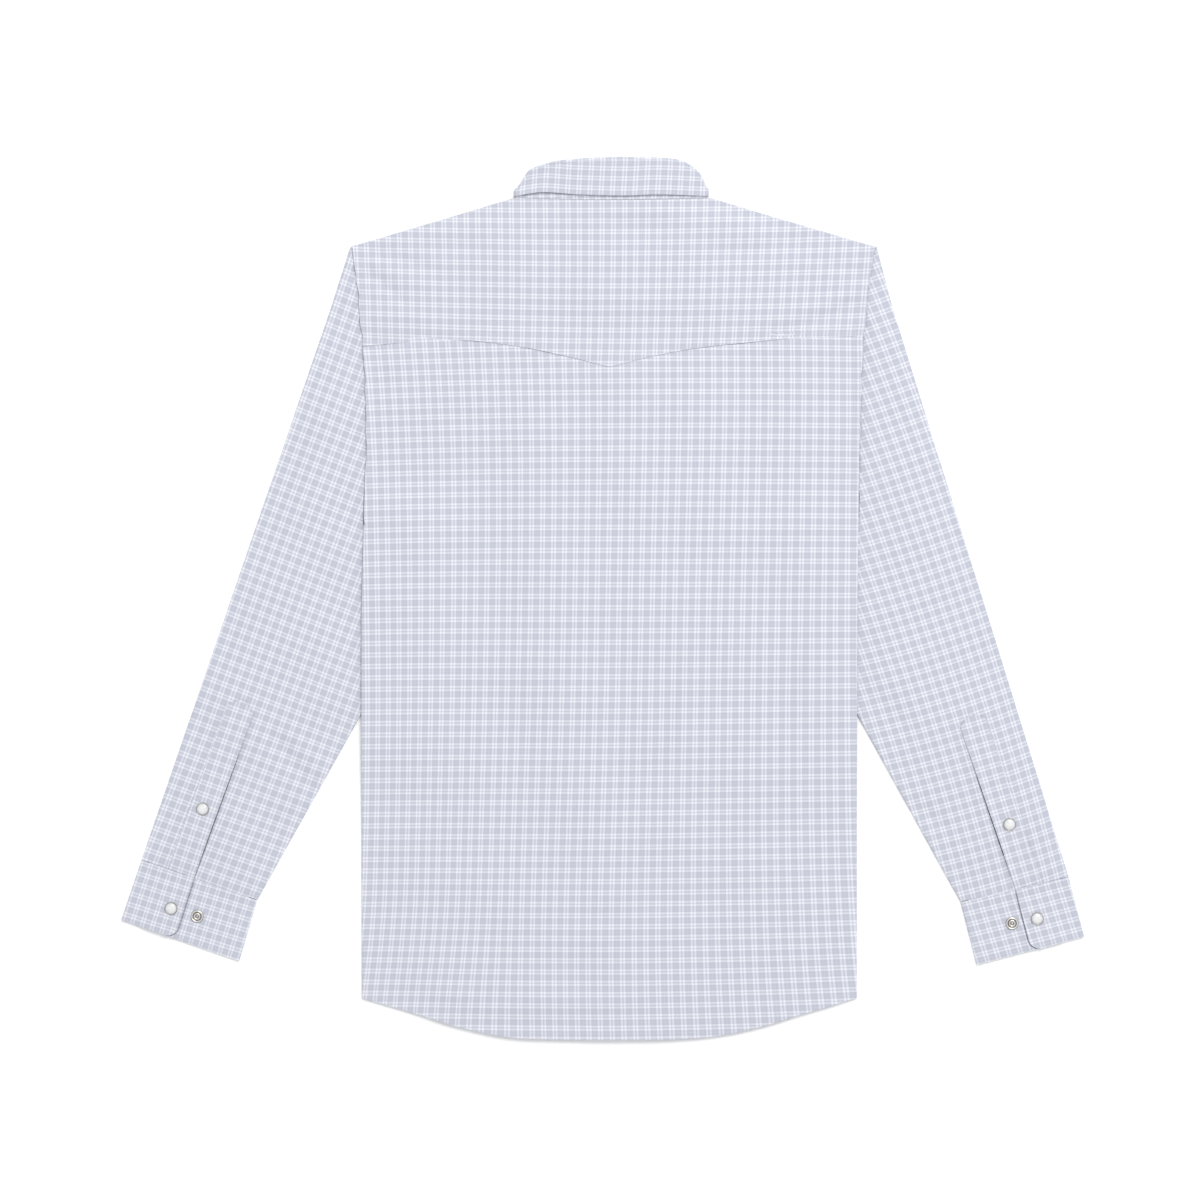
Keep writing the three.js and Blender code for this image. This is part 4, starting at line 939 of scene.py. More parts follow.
sleeveSet = {
    "mouth": 300,
    "loft": 1.6,
    "loftRuns": (40, 45, 40),   # from the outer fold, the inner fold and the cuff
    "slitBehindEdge": -0.3,
    "slits": {
        "left": {"half": 0.42, "from": -10, "to": 124},
        "right": {"half": 0.36, "from": 34, "to": 112},
    },
    "closed": 0.1,          # half the gap of the slit where it is shut
    "underCuff": 4,
    "cuffDip": 0.62,        # how far the cloth goes down to the cuff's seam
    "rowCuts": [13] + [6] * 4 + [11] * 8,
    "outerCuts": [6] * 4,
    "innerCuts": [6] * 5,
    "closer": [0.02, 0.04, 0.065, 0.1, 0.16, 0.25, 0.4, 0.6, 0.8, 1],   # closer steps beside the slit
    "endRows": 12,
    "innerRows": [505, 490, 474, 452, 430, 396, 362, 331, 300, 265, 230, 200, 165],
    "outerShares": [0, 0.1, 0.2, 0.3, 0.38, 0.46, 0.53, 0.6, 0.66, 0.72, 0.79, 0.85, 0.92, 1],
    "tuckHeights": [362, 396, 430, 452, 474, 505],
    "tuckInsets": [35, 35, 30, 14, -0.3, -0.3],
    "outerHeights": [730.5, 710, 689, 672, 656, 640.5],
    "innerHeights": [639.5, 615, 590, 565, 541, 523, 505],
    "bottomHeights": [505, 541, 590, 640, 689, 730.5],
    "grain": {
        "left": {
            "line": (-330.2, 400), "turn": (20, 112), "repeat": (10.4, 10.4),
            "drift": ((-0.193, -0.074, -0.014, -0.004, -0.007, 0.043),
                      (-0.308, 0.085, -0.034, -0.086, -0.069, 0.017)),
        },
        "right": {
            "line": (331.0, 402), "turn": (-18.6, 71.5), "repeat": (10.4, 10.4),
            "drift": ((-0.579, 0.215, -0.023, 0.211, -0.147, 0.055),
                      (-0.302, 0.219, 0.118, 0.407, 0.277, 0.055)),
        },
    },
    "creases": {
        "left": [
            {"path": [(-319.7, 292.6), (-299.5, 266.8), (-275.5, 231.8)],
             "lift": -1.1, "width": 6, "open": (False, True)},
            {"path": [(-305.9, 298.1), (-284.7, 272.3), (-264.5, 250.2)],
             "lift": 0.7, "width": 8, "open": (False, True)},
            {"path": [(-236.9, 368.0), (-268.2, 322.0), (-314.2, 294.4)],
             "lift": 0.6, "width": 11, "open": (True, False)},
            {"path": [(-284.7, 209.8), (-303.1, 200.6), (-314.2, 187.7)],
             "lift": -0.8, "width": 6, "open": (True, False)},
            {"path": [(-268.2, 592.5), (-292.1, 533.6), (-314.2, 478.4), (-339.9, 404.8)],
             "lift": -1.1, "width": 12},
            {"path": [(-247.0, 607.2), (-270.0, 552.0), (-288.4, 496.8)], "lift": 0.7, "width": 12},
            {"path": [(-422.7, 167.4), (-408.9, 161.9), (-397.0, 156.4)], "lift": -0.8, "width": 7},
            {"path": [(-360.2, 368.0), (-380.4, 312.8), (-398.8, 257.6)], "lift": -0.7, "width": 9},
        ],
        "right": [
            {"path": [(236.0, 322.0), (263.6, 298.1), (291.2, 265.0)],
             "lift": -0.45, "width": 9, "open": (True, False)},
            {"path": [(237.8, 345.9), (270.9, 318.3), (304.1, 288.9)],
             "lift": 0.3, "width": 12, "open": (True, False)},
            {"path": [(300.4, 570.4), (324.3, 496.8), (346.4, 423.2)], "lift": -0.8, "width": 11},
            {"path": [(267.3, 616.4), (285.7, 552.0), (300.4, 496.8)], "lift": 0.6, "width": 12},
            {"path": [(280.1, 215.3), (298.5, 204.2), (315.1, 185.8)],
             "lift": -0.8, "width": 6, "open": (True, False)},
            {"path": [(362.9, 368.0), (379.5, 312.8), (392.4, 257.6)], "lift": -0.7, "width": 9},
        ],
    },
    "waves": [(0.3, 84, 40, 0.3), (0.22, 57, 118, 1.4), (0.14, 36, -12, 2.7)],
}


def mouthOf(side):
    return (side["sign"] * float(halfWidth(side["sign"], sleeveSet["mouth"])), sleeveSet["mouth"])


def sleeveLevelAt(side, x, y):
    fromOuter = awayFrom(x, y, side["shoulderTip"], side["cuffOuterTop"])
    fromBody = np.abs(x) - halfWidth(x, y)
    fromUnderarm = awayFrom(x, y, side["cuffInnerTop"], mouthOf(side))
    fromInner = np.where(y > sleeveSet["mouth"], fromBody, fromUnderarm)
    fromCuff = awayFrom(x, y, side["cuffOuterTop"], side["cuffInnerTop"])
    outerRun, innerRun, cuffRun = sleeveSet["loftRuns"]
    loft = ease(0, outerRun, fromOuter) * ease(2, innerRun, fromInner) * ease(0, cuffRun, fromCuff)
    return cloth["lowestLayer"] + cloth["layerPitch"] + sleeveSet["loft"] * loft


# Distance up the sleeve from the cuff's top edge, less than nothing inside the cuff
def pastCuffTop(side, x, y):
    start = side["cuffOuterTop"]
    up = unitAcross(start, side["cuffInnerTop"], -side["sign"])
    return (x - start[0]) * up[0] + (y - start[1]) * up[1]


def sleeveShownAt(name, x, y):
    side = sides[name]
    level = sleeveLevelAt(side, x, y)
    moved = creaseLift(x, y, sleeveSet["creases"][name]) + ripple(x, y, sleeveSet["waves"])
    fromOuter = awayFrom(x, y, side["shoulderTip"], side["cuffOuterTop"])
    fromBody = np.abs(x) - halfWidth(x, y)
    moved = moved * ease(0, 14, fromOuter) * ease(0, 10, fromBody)
    room = level - cloth["lowestLayer"] - cloth["leastStep"]
    seam = pucker(x, y, 1.2) * ease(-1, 4, fromBody)
    fromUnderarm = awayFrom(x, y, side["cuffInnerTop"], mouthOf(side))
    dip = sleeveSet["cuffDip"] * (1 - ease(-1, 7, pastCuffTop(side, x, y))) * ease(2, 9, fromUnderarm)
    return level + np.maximum(moved + seam, -room) - dip * ease(1, 9, fromOuter)


def refine(grid, rowCuts, columnCuts):
    grid = np.asarray(grid)

    def cutPlaces(cuts):
        shares = [np.arange(1, cut + 1) / cut if isinstance(cut, int) else np.array(cut) for cut in cuts]
        return np.concatenate([[0]] + [index + share for index, share in enumerate(shares)])

    rows, columns = cutPlaces(rowCuts), cutPlaces(columnCuts)
    low = np.minimum(rows.astype(int), grid.shape[0] - 2)
    share = (rows - low)[:, None, None]
    grid = grid[low] * (1 - share) + grid[low + 1] * share
    low = np.minimum(columns.astype(int), grid.shape[1] - 2)
    share = (columns - low)[None, :, None]
    return grid[:, low] * (1 - share) + grid[:, low + 1] * share, rows


def placketLine(side):
    bottom = between(side["cuffOuterTop"], side["cuffInnerTop"], side["overlapShare"])
    top = np.array(side["placketTop"], float)
    length = span(bottom, top)
    outward = unitAcross(bottom, top, -side["sign"])
    along = (top - bottom) / length

    def at(upBy, acrossBy):
        upBy, acrossBy = np.asarray(upBy, float), np.asarray(acrossBy, float)
        x = bottom[0] + along[0] * upBy + outward[0] * acrossBy
        return x, bottom[1] + along[1] * upBy + outward[1] * acrossBy
    return length, at


def innerEdgeAt(side, y):
    edge = float(halfWidth(side["sign"], y))
    if y > sleeveSet["tuckHeights"][0]:
        inset = float(np.interp(y, sleeveSet["tuckHeights"], sleeveSet["tuckInsets"]))
        return np.array([side["sign"] * (edge - inset), y])
    wrist, mouth = np.array(side["cuffInnerTop"]), np.array(mouthOf(side))
    return between(wrist, mouth, (y - wrist[1]) / (mouth[1] - wrist[1]))


def makeSleeve(name):
    side = sides[name]
    sign = side["sign"]
    length, onPlacket = placketLine(side)
    slitLook = sleeveSet["slits"][name]
    slitStart = np.array(onPlacket(0, sleeveSet["slitBehindEdge"]))
    slitEnd = np.array(onPlacket(length, sleeveSet["slitBehindEdge"]))
    along = (slitEnd - slitStart) / length
    outerEdges = [between(side["shoulderTip"], side["cuffOuterTop"], s) for s in sleeveSet["outerShares"]]
    innerEdges = [innerEdgeAt(side, y) for y in sleeveSet["innerRows"]] + [np.array(side["cuffInnerTop"])]
    outerOut = unitAcross(side["shoulderTip"], side["cuffOuterTop"], sign)
    last = len(outerEdges) - 1
    top, bottom, inner, outer = [], [], [], []
    for row in range(last + 1):
        before, after = innerEdges[max(row - 1, 0)], innerEdges[min(row + 1, last)]
        innerOut = unitAcross(before, after, -sign)
        outerCore = outerEdges[row] - outerOut * foldReach
        innerCore = innerEdges[row] - innerOut * foldReach
        run = innerCore - outerCore
        lineRun = slitEnd - slitStart
        gap = (slitStart[0] - outerCore[0]) * lineRun[1] - (slitStart[1] - outerCore[1]) * lineRun[0]
        slit = gap / (run[0] * lineRun[1] - run[1] * lineRun[0])
        crossing = outerCore + run * slit
        upTo = float(np.dot(crossing - slitStart, along))
        gape = ease(-12, 12, upTo - slitLook["from"]) * (1 - ease(-45, 0, upTo - slitLook["to"]))
        half = (sleeveSet["closed"] + slitLook["half"] * float(gape)) / np.hypot(*run)
        outerShares = np.linspace(0, slit - half, len(sleeveSet["outerHeights"]))
        innerShares = np.linspace(slit + half, 1, len(sleeveSet["innerHeights"]))
        shares = np.concatenate([outerShares, innerShares])
        heights = sleeveSet["outerHeights"] + sleeveSet["innerHeights"]
        lowShares = np.linspace(1, 0, len(sleeveSet["bottomHeights"]))

        def edgePoint(height, tucked):
            y = min(height, outerCore[1])
            fade = float(ease(0, armhole["tuckFade"], y - body["armpit"] - 3))
            fade *= float(ease(0, armhole["tuckFade"], body["shoulderTipHeight"] - 3 - y))
            out = foldReach + cloth["seamGap"] if height == body["armpit"] else 0.4
            return np.array([sign * (float(halfWidth(sign, y)) + out - tucked * fade * armhole["tuck"]), y])

        if row == 0:
            top.append([edgePoint(height, 1) for height in heights])
            bottom.append([edgePoint(height, 0) for height in sleeveSet["bottomHeights"]])
            starts = (edgePoint(body["shoulderTipHeight"], 0), edgePoint(body["armpit"], 0))
        else:
            top.append([between(outerCore, innerCore, share) for share in shares])
            bottom.append([between(outerCore, innerCore, share) for share in lowShares])
            starts = (outerCore, innerCore)
        outer.append([starts[0], outerOut])
        inner.append([starts[1], innerOut])
    rowCuts, closer = sleeveSet["rowCuts"], sleeveSet["closer"]
    besideSlit = [[1 - share for share in closer[-2::-1]] + [1], 1, closer]
    topCuts = sleeveSet["outerCuts"] + besideSlit + sleeveSet["innerCuts"]
    topGrid, rows = refine(top, rowCuts, topCuts)
    bottomGrid, rows = refine(bottom, rowCuts, sleeveSet["innerCuts"])
    outerGrid, rows = refine(outer, rowCuts, [1])
    innerGrid, rows = refine(inner, rowCuts, [1])
    # The end of the top layer runs on between the layers of the cuff
    endRows = sleeveSet["endRows"]
    ends = topGrid[-endRows:]
    run = np.linspace(0, 1, endRows)[:, None] ** 2
    fromFolds = np.minimum(np.arange(ends.shape[1]), np.arange(ends.shape[1])[::-1]) / 4
    down = unitAcross(side["cuffOuterTop"], side["cuffInnerTop"], sign) * sleeveSet["underCuff"]
    topGrid[-endRows:] = ends + (run * np.clip(fromFolds - 1, 0, 1))[..., None] * down
    topX, topY = topGrid[..., 0], topGrid[..., 1]
    sink = armhole["sink"] * (1 - ease(0, armhole["sinkRun"], np.abs(topX) - halfWidth(topX, topY)))
    sink = sink * ease(body["armpit"] + 2, body["armpit"] + 16, topY)
    topZ = sleeveShownAt(name, topX, topY) - sink
    lowZ = np.full(bottomGrid.shape[:2], cloth["lowestLayer"])
    middleZ = cloth["lowestLayer"] + foldRadius

    def foldStrips(grid, degrees, tops):
        strips = []
        for degree in np.radians(degrees):
            spot = grid[:, 0] + grid[:, 1] * foldRadius * math.cos(degree)
            rise = (tops - middleZ - foldRadius) * (math.sin(degree) + 1) / 2
            level = middleZ + foldRadius * math.sin(degree) + rise
            strips.append(np.concatenate([spot, level[:, None]], axis=1))
        return np.stack(strips, 1)

    steps = np.linspace(90, -90, cloth["foldSteps"] + 1)[1:-1]
    parts = [
        np.concatenate([topGrid, topZ[..., None]], -1),
        foldStrips(innerGrid, steps, topZ[:, -1]),
        np.concatenate([bottomGrid, lowZ[..., None]], -1),
        foldStrips(outerGrid, steps[::-1], topZ[:, 0]),
    ]
    middle = np.concatenate(parts, axis=1)
    columns = middle.shape[1]
    kept = np.ones((len(rows) - 1, columns), dtype=bool)
    slitColumn = sum(sleeveSet["outerCuts"]) + len(closer)
    slitSpots = topGrid[:-1, slitColumn]
    upTo = (slitSpots[:, 0] - slitStart[0]) * along[0] + (slitSpots[:, 1] - slitStart[1]) * along[1]
    kept[(upTo > slitLook["from"]) & (upTo < slitLook["to"]), slitColumn] = False
    if sign < 0:
        middle = middle[:, ::-1]
        kept = np.roll(kept[:, ::-1], -1, axis=1)
    grain = grainOf(middle[..., 0], middle[..., 1], sleeveSet["grain"][name])
    piece = clothPiece(f"shirt_sleeve_{name}", middle, grain, ring=True, kept=kept)
    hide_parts(f"sleeve_{name}")


# Tower plackets and cuffs

placketSet = {
    "width": 25,
    "tip": 8.5,
    "snapAcross": 13.8,
    "rise": 0.85,           # height over the sleeve
    "riseMore": 0.35,       # and more above the cuff's seam
    "riseRun": 14,
    "openLift": 1.0,        # the edge beside the slit stands up
    "openRun": 6,
    "openFrom": 30,
    "underCuff": 3,
    "areaShare": 0.97,
    "grain": {
        "left": {"line": (-366, 240), "turn": (19.7, 109.7), "drift": ((0,), (-0.45,))},
        "right": {"line": (372, 230), "turn": (-16.8, 73.2), "drift": ((0.15,), (-0.38,))},
    },
}


def placketLevelAt(name, x, y, upBy, acrossBy):
    length, _ = placketLine(sides[name])
    rise = placketSet["rise"] + placketSet["riseMore"] * ease(0, placketSet["riseRun"], upBy)
    base = sleeveShownAt(name, x, y) + rise
    gape = ease(2, placketSet["openFrom"], upBy) * (1 - ease(length - 50, length - 6, upBy))
    return base + placketSet["openLift"] * gape * (1 - ease(0, placketSet["openRun"], acrossBy))


def makeSleevePlacket(name):
    side = sides[name]
    length, at = placketLine(side)
    share = np.linspace(0, 1, 18)[None, :]
    if side["sign"] < 0:
        share = share[:, ::-1]
    up = np.linspace(0, 1, 121)[:, None]
    topLine = length + placketSet["tip"] * (1 - np.abs(2 * share - 1))
    upBy = -placketSet["underCuff"] + (topLine + placketSet["underCuff"]) * up
    acrossBy = share * placketSet["width"] + 0 * up
    x, y = at(upBy, acrossBy)
    z = placketLevelAt(name, x, y, upBy, acrossBy)
    grain = grainOf(x, y, placketSet["grain"][name])
    piece = clothPiece(f"shirt_placket_{name}", np.stack([x, y, z], -1), grain)
    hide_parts(f"sleeve_placket_{name}")
    cutWidth, cutLength = placketSet["width"] / 1000, (length + placketSet["tip"]) / 1000
    placketSet["areaShare"] * cutWidth * cutLength


cuffSet = {
    "corner": 10,
    "underlapReach": 8,
    "rampFar": 0.36,        # shares of the width from the overlap's edge, over which it rises
    "rampNear": 0.2,
    "topLift": 0.5,
    "topRun": 7,
    "overlapLift": 0.8,
    "overlapRun": 5,
    "grooveDip": 0.45,      # the underlap has a narrow groove beside the overlap's edge
    "grooveWidth": 1.1,
    "grooveLip": 0.75,
    "grooveRun": 9,
    "waves": [(0.18, 46, 25, 0.5), (0.12, 27, 80, 2.2)],
    "grain": {
        "left": {
            "line": (-395, 120), "turn": (16, 110),
            "drift": ((0.04, 0.76, -0.71), (0.06, 0.25, -0.63)),
        },
        "right": {
            "line": (392, 105), "turn": (-16.5, 73.3),
            "drift": ((-0.11, -0.24, 0.17), (-0.31, -0.23, -0.75)),
        },
    },
}


def cuffSize(side):
    outerTop = side["cuffOuterTop"]
    return span(outerTop, side["cuffInnerTop"]), span(outerTop, side["cuffOuterBottom"])


def cuffPoint(side, across, down):
    across, down = np.asarray(across, float)[..., None], np.asarray(down, float)[..., None]
    top = between(side["cuffOuterTop"], side["cuffInnerTop"], across)
    low = between(side["cuffOuterBottom"], side["cuffInnerBottom"], across)
    return top + (low - top) * down


def overlapLevel(side, across):
    far, near = cuffSet["rampFar"], cuffSet["rampNear"]
    rise = ease(side["overlapShare"] - far, side["overlapShare"] - near, across)
    return cloth["lowestLayer"] + cloth["layerPitch"] * (1 + rise)


def makeCuff(name):
    side = sides[name]
    width, depth = cuffSize(side)
    corner = cuffSet["corner"]
    plain = np.linspace(cloth["seamGap"] / depth, 1 - corner / depth, 22)
    turns = np.sin(np.linspace(0, math.pi / 2, 9))[1:]
    downs = np.concatenate([plain, 1 - corner / depth + corner / depth * turns])[:, None]
    outShare = foldReach / width
    turned = np.clip((downs * depth - depth + corner) / corner, 0, 1)
    rounded = 1 - np.sqrt(np.maximum(1 - turned ** 2 * 0.995, 0))
    overlapEnd = side["overlapShare"] - (corner / width) * rounded
    low = cloth["lowestLayer"]
    middleZ = low + foldRadius
    blocks = []

    def addBlock(across, z):
        across = across + 0 * downs
        spot = cuffPoint(side, across, downs + 0 * across)
        blocks.append(np.concatenate([spot, (z + 0 * across)[..., None]], -1))

    share = np.concatenate([[0, 0.008, 0.02, 0.04, 0.065], np.linspace(0.1, 1, 22)])[None, :]
    over = overlapEnd + (outShare - overlapEnd) * share
    ripples = ripple(over * width, downs * depth, cuffSet["waves"])
    ripples = ripples * ease(0, 0.12, over) * ease(0, 0.2, 1 - downs)
    topEdge = cuffSet["topLift"] * (1 - ease(0, cuffSet["topRun"], downs * depth))
    openEdge = cuffSet["overlapLift"] * (1 - ease(0, cuffSet["overlapRun"], (overlapEnd - over) * width))
    raised = openEdge * ease(0.02, 0.25, downs) + topEdge * ease(0.01, 0.08, over)
    addBlock(over, overlapLevel(side, over) + ripples + raised)
    steps = np.radians(np.linspace(90, -90, cloth["foldSteps"] + 1)[1:-1])
    folds = foldRadius / width * np.cos(steps)[None, :]
    addBlock(outShare - folds, middleZ + foldRadius * np.sin(steps)[None, :])
    addBlock(outShare + (1 - 2 * outShare) * np.linspace(0, 1, 41)[None, :], low)
    addBlock(1 - outShare + folds[:, ::-1], middleZ - foldRadius * np.sin(steps)[None, :])
    clear = (1 - outShare - side["overlapShare"]) * width
    tuckedUnder = [-cuffSet["underlapReach"], -4, -2, -1]
    groove = cuffSet["grooveWidth"] * np.array([0, 0.3, 0.6, 0.9, 1.1, 1.4, 2.0, 2.8, 4, 5.5])
    stations = np.concatenate([tuckedUnder, groove, np.linspace(8.5, clear, 18)])
    under = overlapEnd + (1 - outShare - overlapEnd) * (stations[::-1] / clear)[None, :]
    fromGroove = (stations[::-1] / cuffSet["grooveWidth"])[None, :]
    lip = cuffSet["grooveLip"] * ease(0.85, 1.4, fromGroove)
    lip = lip * (1 - ease(1.6, cuffSet["grooveRun"], fromGroove))
    dip = cuffSet["grooveDip"] * ease(-1.5, 0, fromGroove) * (1 - ease(0.85, 1.2, fromGroove))
    ripples = 0.6 * ripple(under * width, downs * depth, cuffSet["waves"])
    ripples = ripples * ease(0, 0.1, 1 - under) * ease(0, 0.2, 1 - downs)
    ripples = ripples * ease(0.03, 0.12, under - side["overlapShare"])
    raised = topEdge * ease(0.01, 0.08, 1 - under) + (lip - dip) * ease(0, 0.06, downs)
    addBlock(under, low + cloth["layerPitch"] + ripples + raised)
    middle = np.concatenate(blocks, axis=1)
    if side["sign"] < 0:
        middle = middle[:, ::-1]
    grain = grainOf(middle[..., 0], middle[..., 1], cuffSet["grain"][name])
    piece = clothPiece(f"shirt_cuff_{name}", middle, grain)
    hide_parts(f"cuff_{name}")


for sideName in sides:
    makeSleeve(sideName)
    makeSleevePlacket(sideName)
    makeCuff(sideName)
print("sleeves, plackets and cuffs made")


# Snaps are turned profiles, seated square to the cloth

snapSet = {
    "segments": 48,
    "radius": 5.9,
    "height": 2.6,
    "rimWidth": 0.55,
    "toneReach": 6.0,     # distance from the middle at which the tones below end
    # pearl dome: its own near-white in the middle, greying towards its edge as painted shade, with a
    # painted dark outline beside the rim
    "pearlPaintedShade": [(0.0, (0.8, 0.8, 0.79)), (0.5, (0.76, 0.765, 0.765)), (0.76, (0.64, 0.645, 0.65)),
              (0.9, (0.42, 0.42, 0.42))],
    # metal rim: its own beige-grey between darker edges, which are painted shade on the rounded ring
    "rim": [(0.88, (0.3, 0.28, 0.25)), (0.94, (0.6, 0.58, 0.54)), (0.985, (0.36, 0.34, 0.31))],
    # ring stud: its own light metal rings, a painted highlight in the very middle, and painted shade as
    # dark bands in the middle pit, in the groove and along the outer edge
    "stud": [(0.0, (0.75, 0.75, 0.76)), (0.1, (0.6, 0.61, 0.63)), (0.16, (0.26, 0.27, 0.3)),
             (0.25, (0.3, 0.31, 0.34)), (0.3, (0.72, 0.7, 0.66)), (0.5, (0.76, 0.74, 0.7)),
             (0.56, (0.3, 0.26, 0.2)), (0.66, (0.36, 0.31, 0.24)),
             (0.71, (0.84, 0.82, 0.78)), (0.87, (0.86, 0.84, 0.81)), (0.93, (0.3, 0.28, 0.29))],
}


# The tone of a snap changes with the distance from its middle, which its own map holds. The tones carry
# painted shade, and on the stud a painted highlight too.
def makeSnapFinish(name, tonesWithPaintedShade, metallic, roughness, coat):
    material, graph = newMaterial(name)
    turn = graph.node("ShaderNodeUVMap", {"uv_map": "grain"})
    fromMiddle = graph.node("ShaderNodeSeparateXYZ", {}, {0: turn}, 0)
    place = graph.node("ShaderNodeTexCoord", {}, {}, 3)
    cloudy = graph.node("ShaderNodeTexNoise", {}, {
        "Vector": place, "Scale": 330.0, "Detail": 3.0, "Distortion": 1.4,
    })
    tone = graph.node("ShaderNodeValToRGB", {"stops": tonesWithPaintedShade}, {0: fromMiddle + (cloudy - 0.5) * 0.06})
    shade = graph.node("ShaderNodeValToRGB", {"stops": [(0.3, 0.86), (0.7, 1.0)]}, {0: cloudy})
    shaded = graph.node("ShaderNodeMix", {"data_type": "RGBA", "blend_type": "MULTIPLY"}, {
        0: 1.0, 6: tone, 7: shade,
    }, 2)
    finishMaterial(graph, {
        "Base Color": shaded, "Metallic": metallic, "Roughness": cloudy * 0.12 + roughness,
        "Coat Weight": coat, "Coat Roughness": 0.08,
    })
    return material


# Snap finishes whose tones hold painted shade; the stud's also holds a painted highlight
pearlPaintedShade = makeSnapFinish("snapPearlPaintedShade", snapSet["pearlPaintedShade"], 0.0, 0.16, 0.5)
rimMetalPaintedShade = makeSnapFinish("snapRimPaintedShade", snapSet["rim"], 1.0, 0.22, 0.0)
studMetalPaintedLightAndShade = makeSnapFinish("snapStudPaintedLightAndShade", snapSet["stud"], 1.0, 0.24, 0.0)


# Turns a closed profile of (out, up) points round the seat's own upright
def turnedPiece(name, profile, seat, upward, material):
    upward = Vector(upward).normalized()
    side = upward.orthogonal().normalized()
    other = upward.cross(side)
    segments = snapSet["segments"]
    points, faces, turns, rings = [], [], [], []
    for out, up in profile:
        ring = []
        count = 1 if out == 0 else segments
        for step in range(count):
            angle = 2 * math.pi * step / segments
            outward = side * math.cos(angle) + other * math.sin(angle)
            ring.append(len(points))
            points.append(tuple(Vector(seat) + outward * out + upward * up))
            turns.append((out / snapSet["toneReach"], step / segments))
        rings.append(ring)
    closes = profile[0][0] != 0 and profile[-1][0] != 0
    pairs = list(zip(rings, rings[1:])) + ([(rings[-1], rings[0])] if closes else [])
    for low, high in pairs:
        for step in range(segments):
            following = (step + 1) % segments
            corners = [low[step % len(low)], low[following % len(low)],
                       high[following % len(high)], high[step % len(high)]]
            faces.append([corner for place, corner in enumerate(corners) if corner not in corners[:place]])
    return meshPiece(name, points, faces, material, turns, sharpAngle=40)


def makeCap(name, node, seat, upward, height):
    radius = snapSet["radius"]
    pearlRadius = radius - snapSet["rimWidth"]
    rimTop = 0.3 * height
    dome = [(pearlRadius * math.cos(angle), rimTop * 0.8 + (height - rimTop * 0.8) * math.sin(angle))
            for angle in np.linspace(0, math.pi / 2, 12)[:-1]]
    cap = turnedPiece(f"{name}_pearl", [(0, 0.1), (pearlRadius, 0.1), *dome, (0, height)], seat, upward,
                      pearlPaintedShade)
    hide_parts(node)
    rim = [(pearlRadius + 0.05, 0), (radius - 0.15, 0), (radius, 0.15), (radius, rimTop * 0.7),
           (radius - 0.12, rimTop * 0.95), (radius - 0.3, rimTop), (pearlRadius + 0.05, rimTop * 0.9)]
    turnedPiece(f"{name}_rim", rim, seat, upward, rimMetalPaintedShade)


def makeRingStud(name, node, seat, upward):
    profile = [
        (0, 0), (5.6, 0), (5.75, 0.15), (5.8, 0.5), (5.65, 0.8), (5.3, 1.02), (4.9, 1.1), (4.5, 1.02),
        (4.2, 0.8), (4.0, 0.5), (3.5, 0.45), (3.35, 0.6), (3.3, 1.0), (3.15, 1.35), (2.8, 1.55),
        (2.4, 1.6), (2.0, 1.5), (1.75, 1.2), (1.6, 0.8), (1.2, 0.75), (0.9, 1.0), (0.5, 1.15), (0, 1.2),
    ]
    stud = turnedPiece(name, profile, seat, upward, studMetalPaintedLightAndShade)
    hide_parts(node)


def uprightAt(level, x, y):
    step = 1.5
    slopeX = float(level(x + step, y) - level(x - step, y)) / (2 * step)
    slopeY = float(level(x, y + step) - level(x, y - step)) / (2 * step)
    return (-slopeX, -slopeY, 1)


def placketSurface(name):
    side = sides[name]
    bottom = between(side["cuffOuterTop"], side["cuffInnerTop"], side["overlapShare"])
    _, at = placketLine(side)
    alongX, alongY = np.array(at(1, 0)) - bottom
    outX, outY = np.array(at(0, 1)) - bottom

    def level(x, y):
        fromX, fromY = x - bottom[0], y - bottom[1]
        return placketLevelAt(name, x, y, fromX * alongX + fromY * alongY, fromX * outX + fromY * outY)
    return level


seatRise = cloth["wall"] / 2 + 0.05
for sideName, side in sides.items():
    length, at = placketLine(side)
    level = placketSurface(sideName)
    x, y = (float(v) for v in at(side["placketSnapAlong"], placketSet["snapAcross"]))
    makeCap(f"placket_{sideName}", f"placket_snap_{sideName}", (x, y, float(level(x, y)) + seatRise),
            uprightAt(level, x, y), snapSet["height"])
    x, y = (float(v) for v in cuffPoint(side, *side["capSeat"]))
    top = cloth["lowestLayer"] + 2 * cloth["layerPitch"] + seatRise
    makeCap(f"cuff_{sideName}", f"cuff_snap_{sideName}", (x, y, top + 0.15), (0, 0, 1), snapSet["height"])
    x, y = (float(v) for v in cuffPoint(side, *side["studSeat"]))
    makeRingStud(f"cuff_{sideName}_stud", f"cuff_stud_{sideName}",
                 (x, y, cloth["lowestLayer"] + cloth["layerPitch"] + seatRise + 0.1), (0, 0, 1))

lower = cloth["lowestLayer"] - cloth["wall"] / 2
for number in range(band["snaps"]):
    drop = (body["topSnapHeight"] - band["lowestSnap"]) * number / (band["snaps"] - 1)
    height = body["topSnapHeight"] - drop
    makeCap(f"front_cap_{number + 1}", f"front_snap_{number + 1}", (0, height, lower), (0, 0, -1), lower)
print("snaps made")


# Stitches follow the seams: a small grain of thread at each step of a line

threadSet = {
    "spacing": 2.5, "length": 1.7, "thickness": 0.3, "colour": (0.72, 0.735, 0.79),
    "seamInsets": (1.6, 7.6),   # a twin row beside each seam
    "hemInset": 6,
    "placketInset": 1.8,
    "barBelowTop": 38,          # the row across the placket
    "cuffInsets": (1.6, 7.0),
}


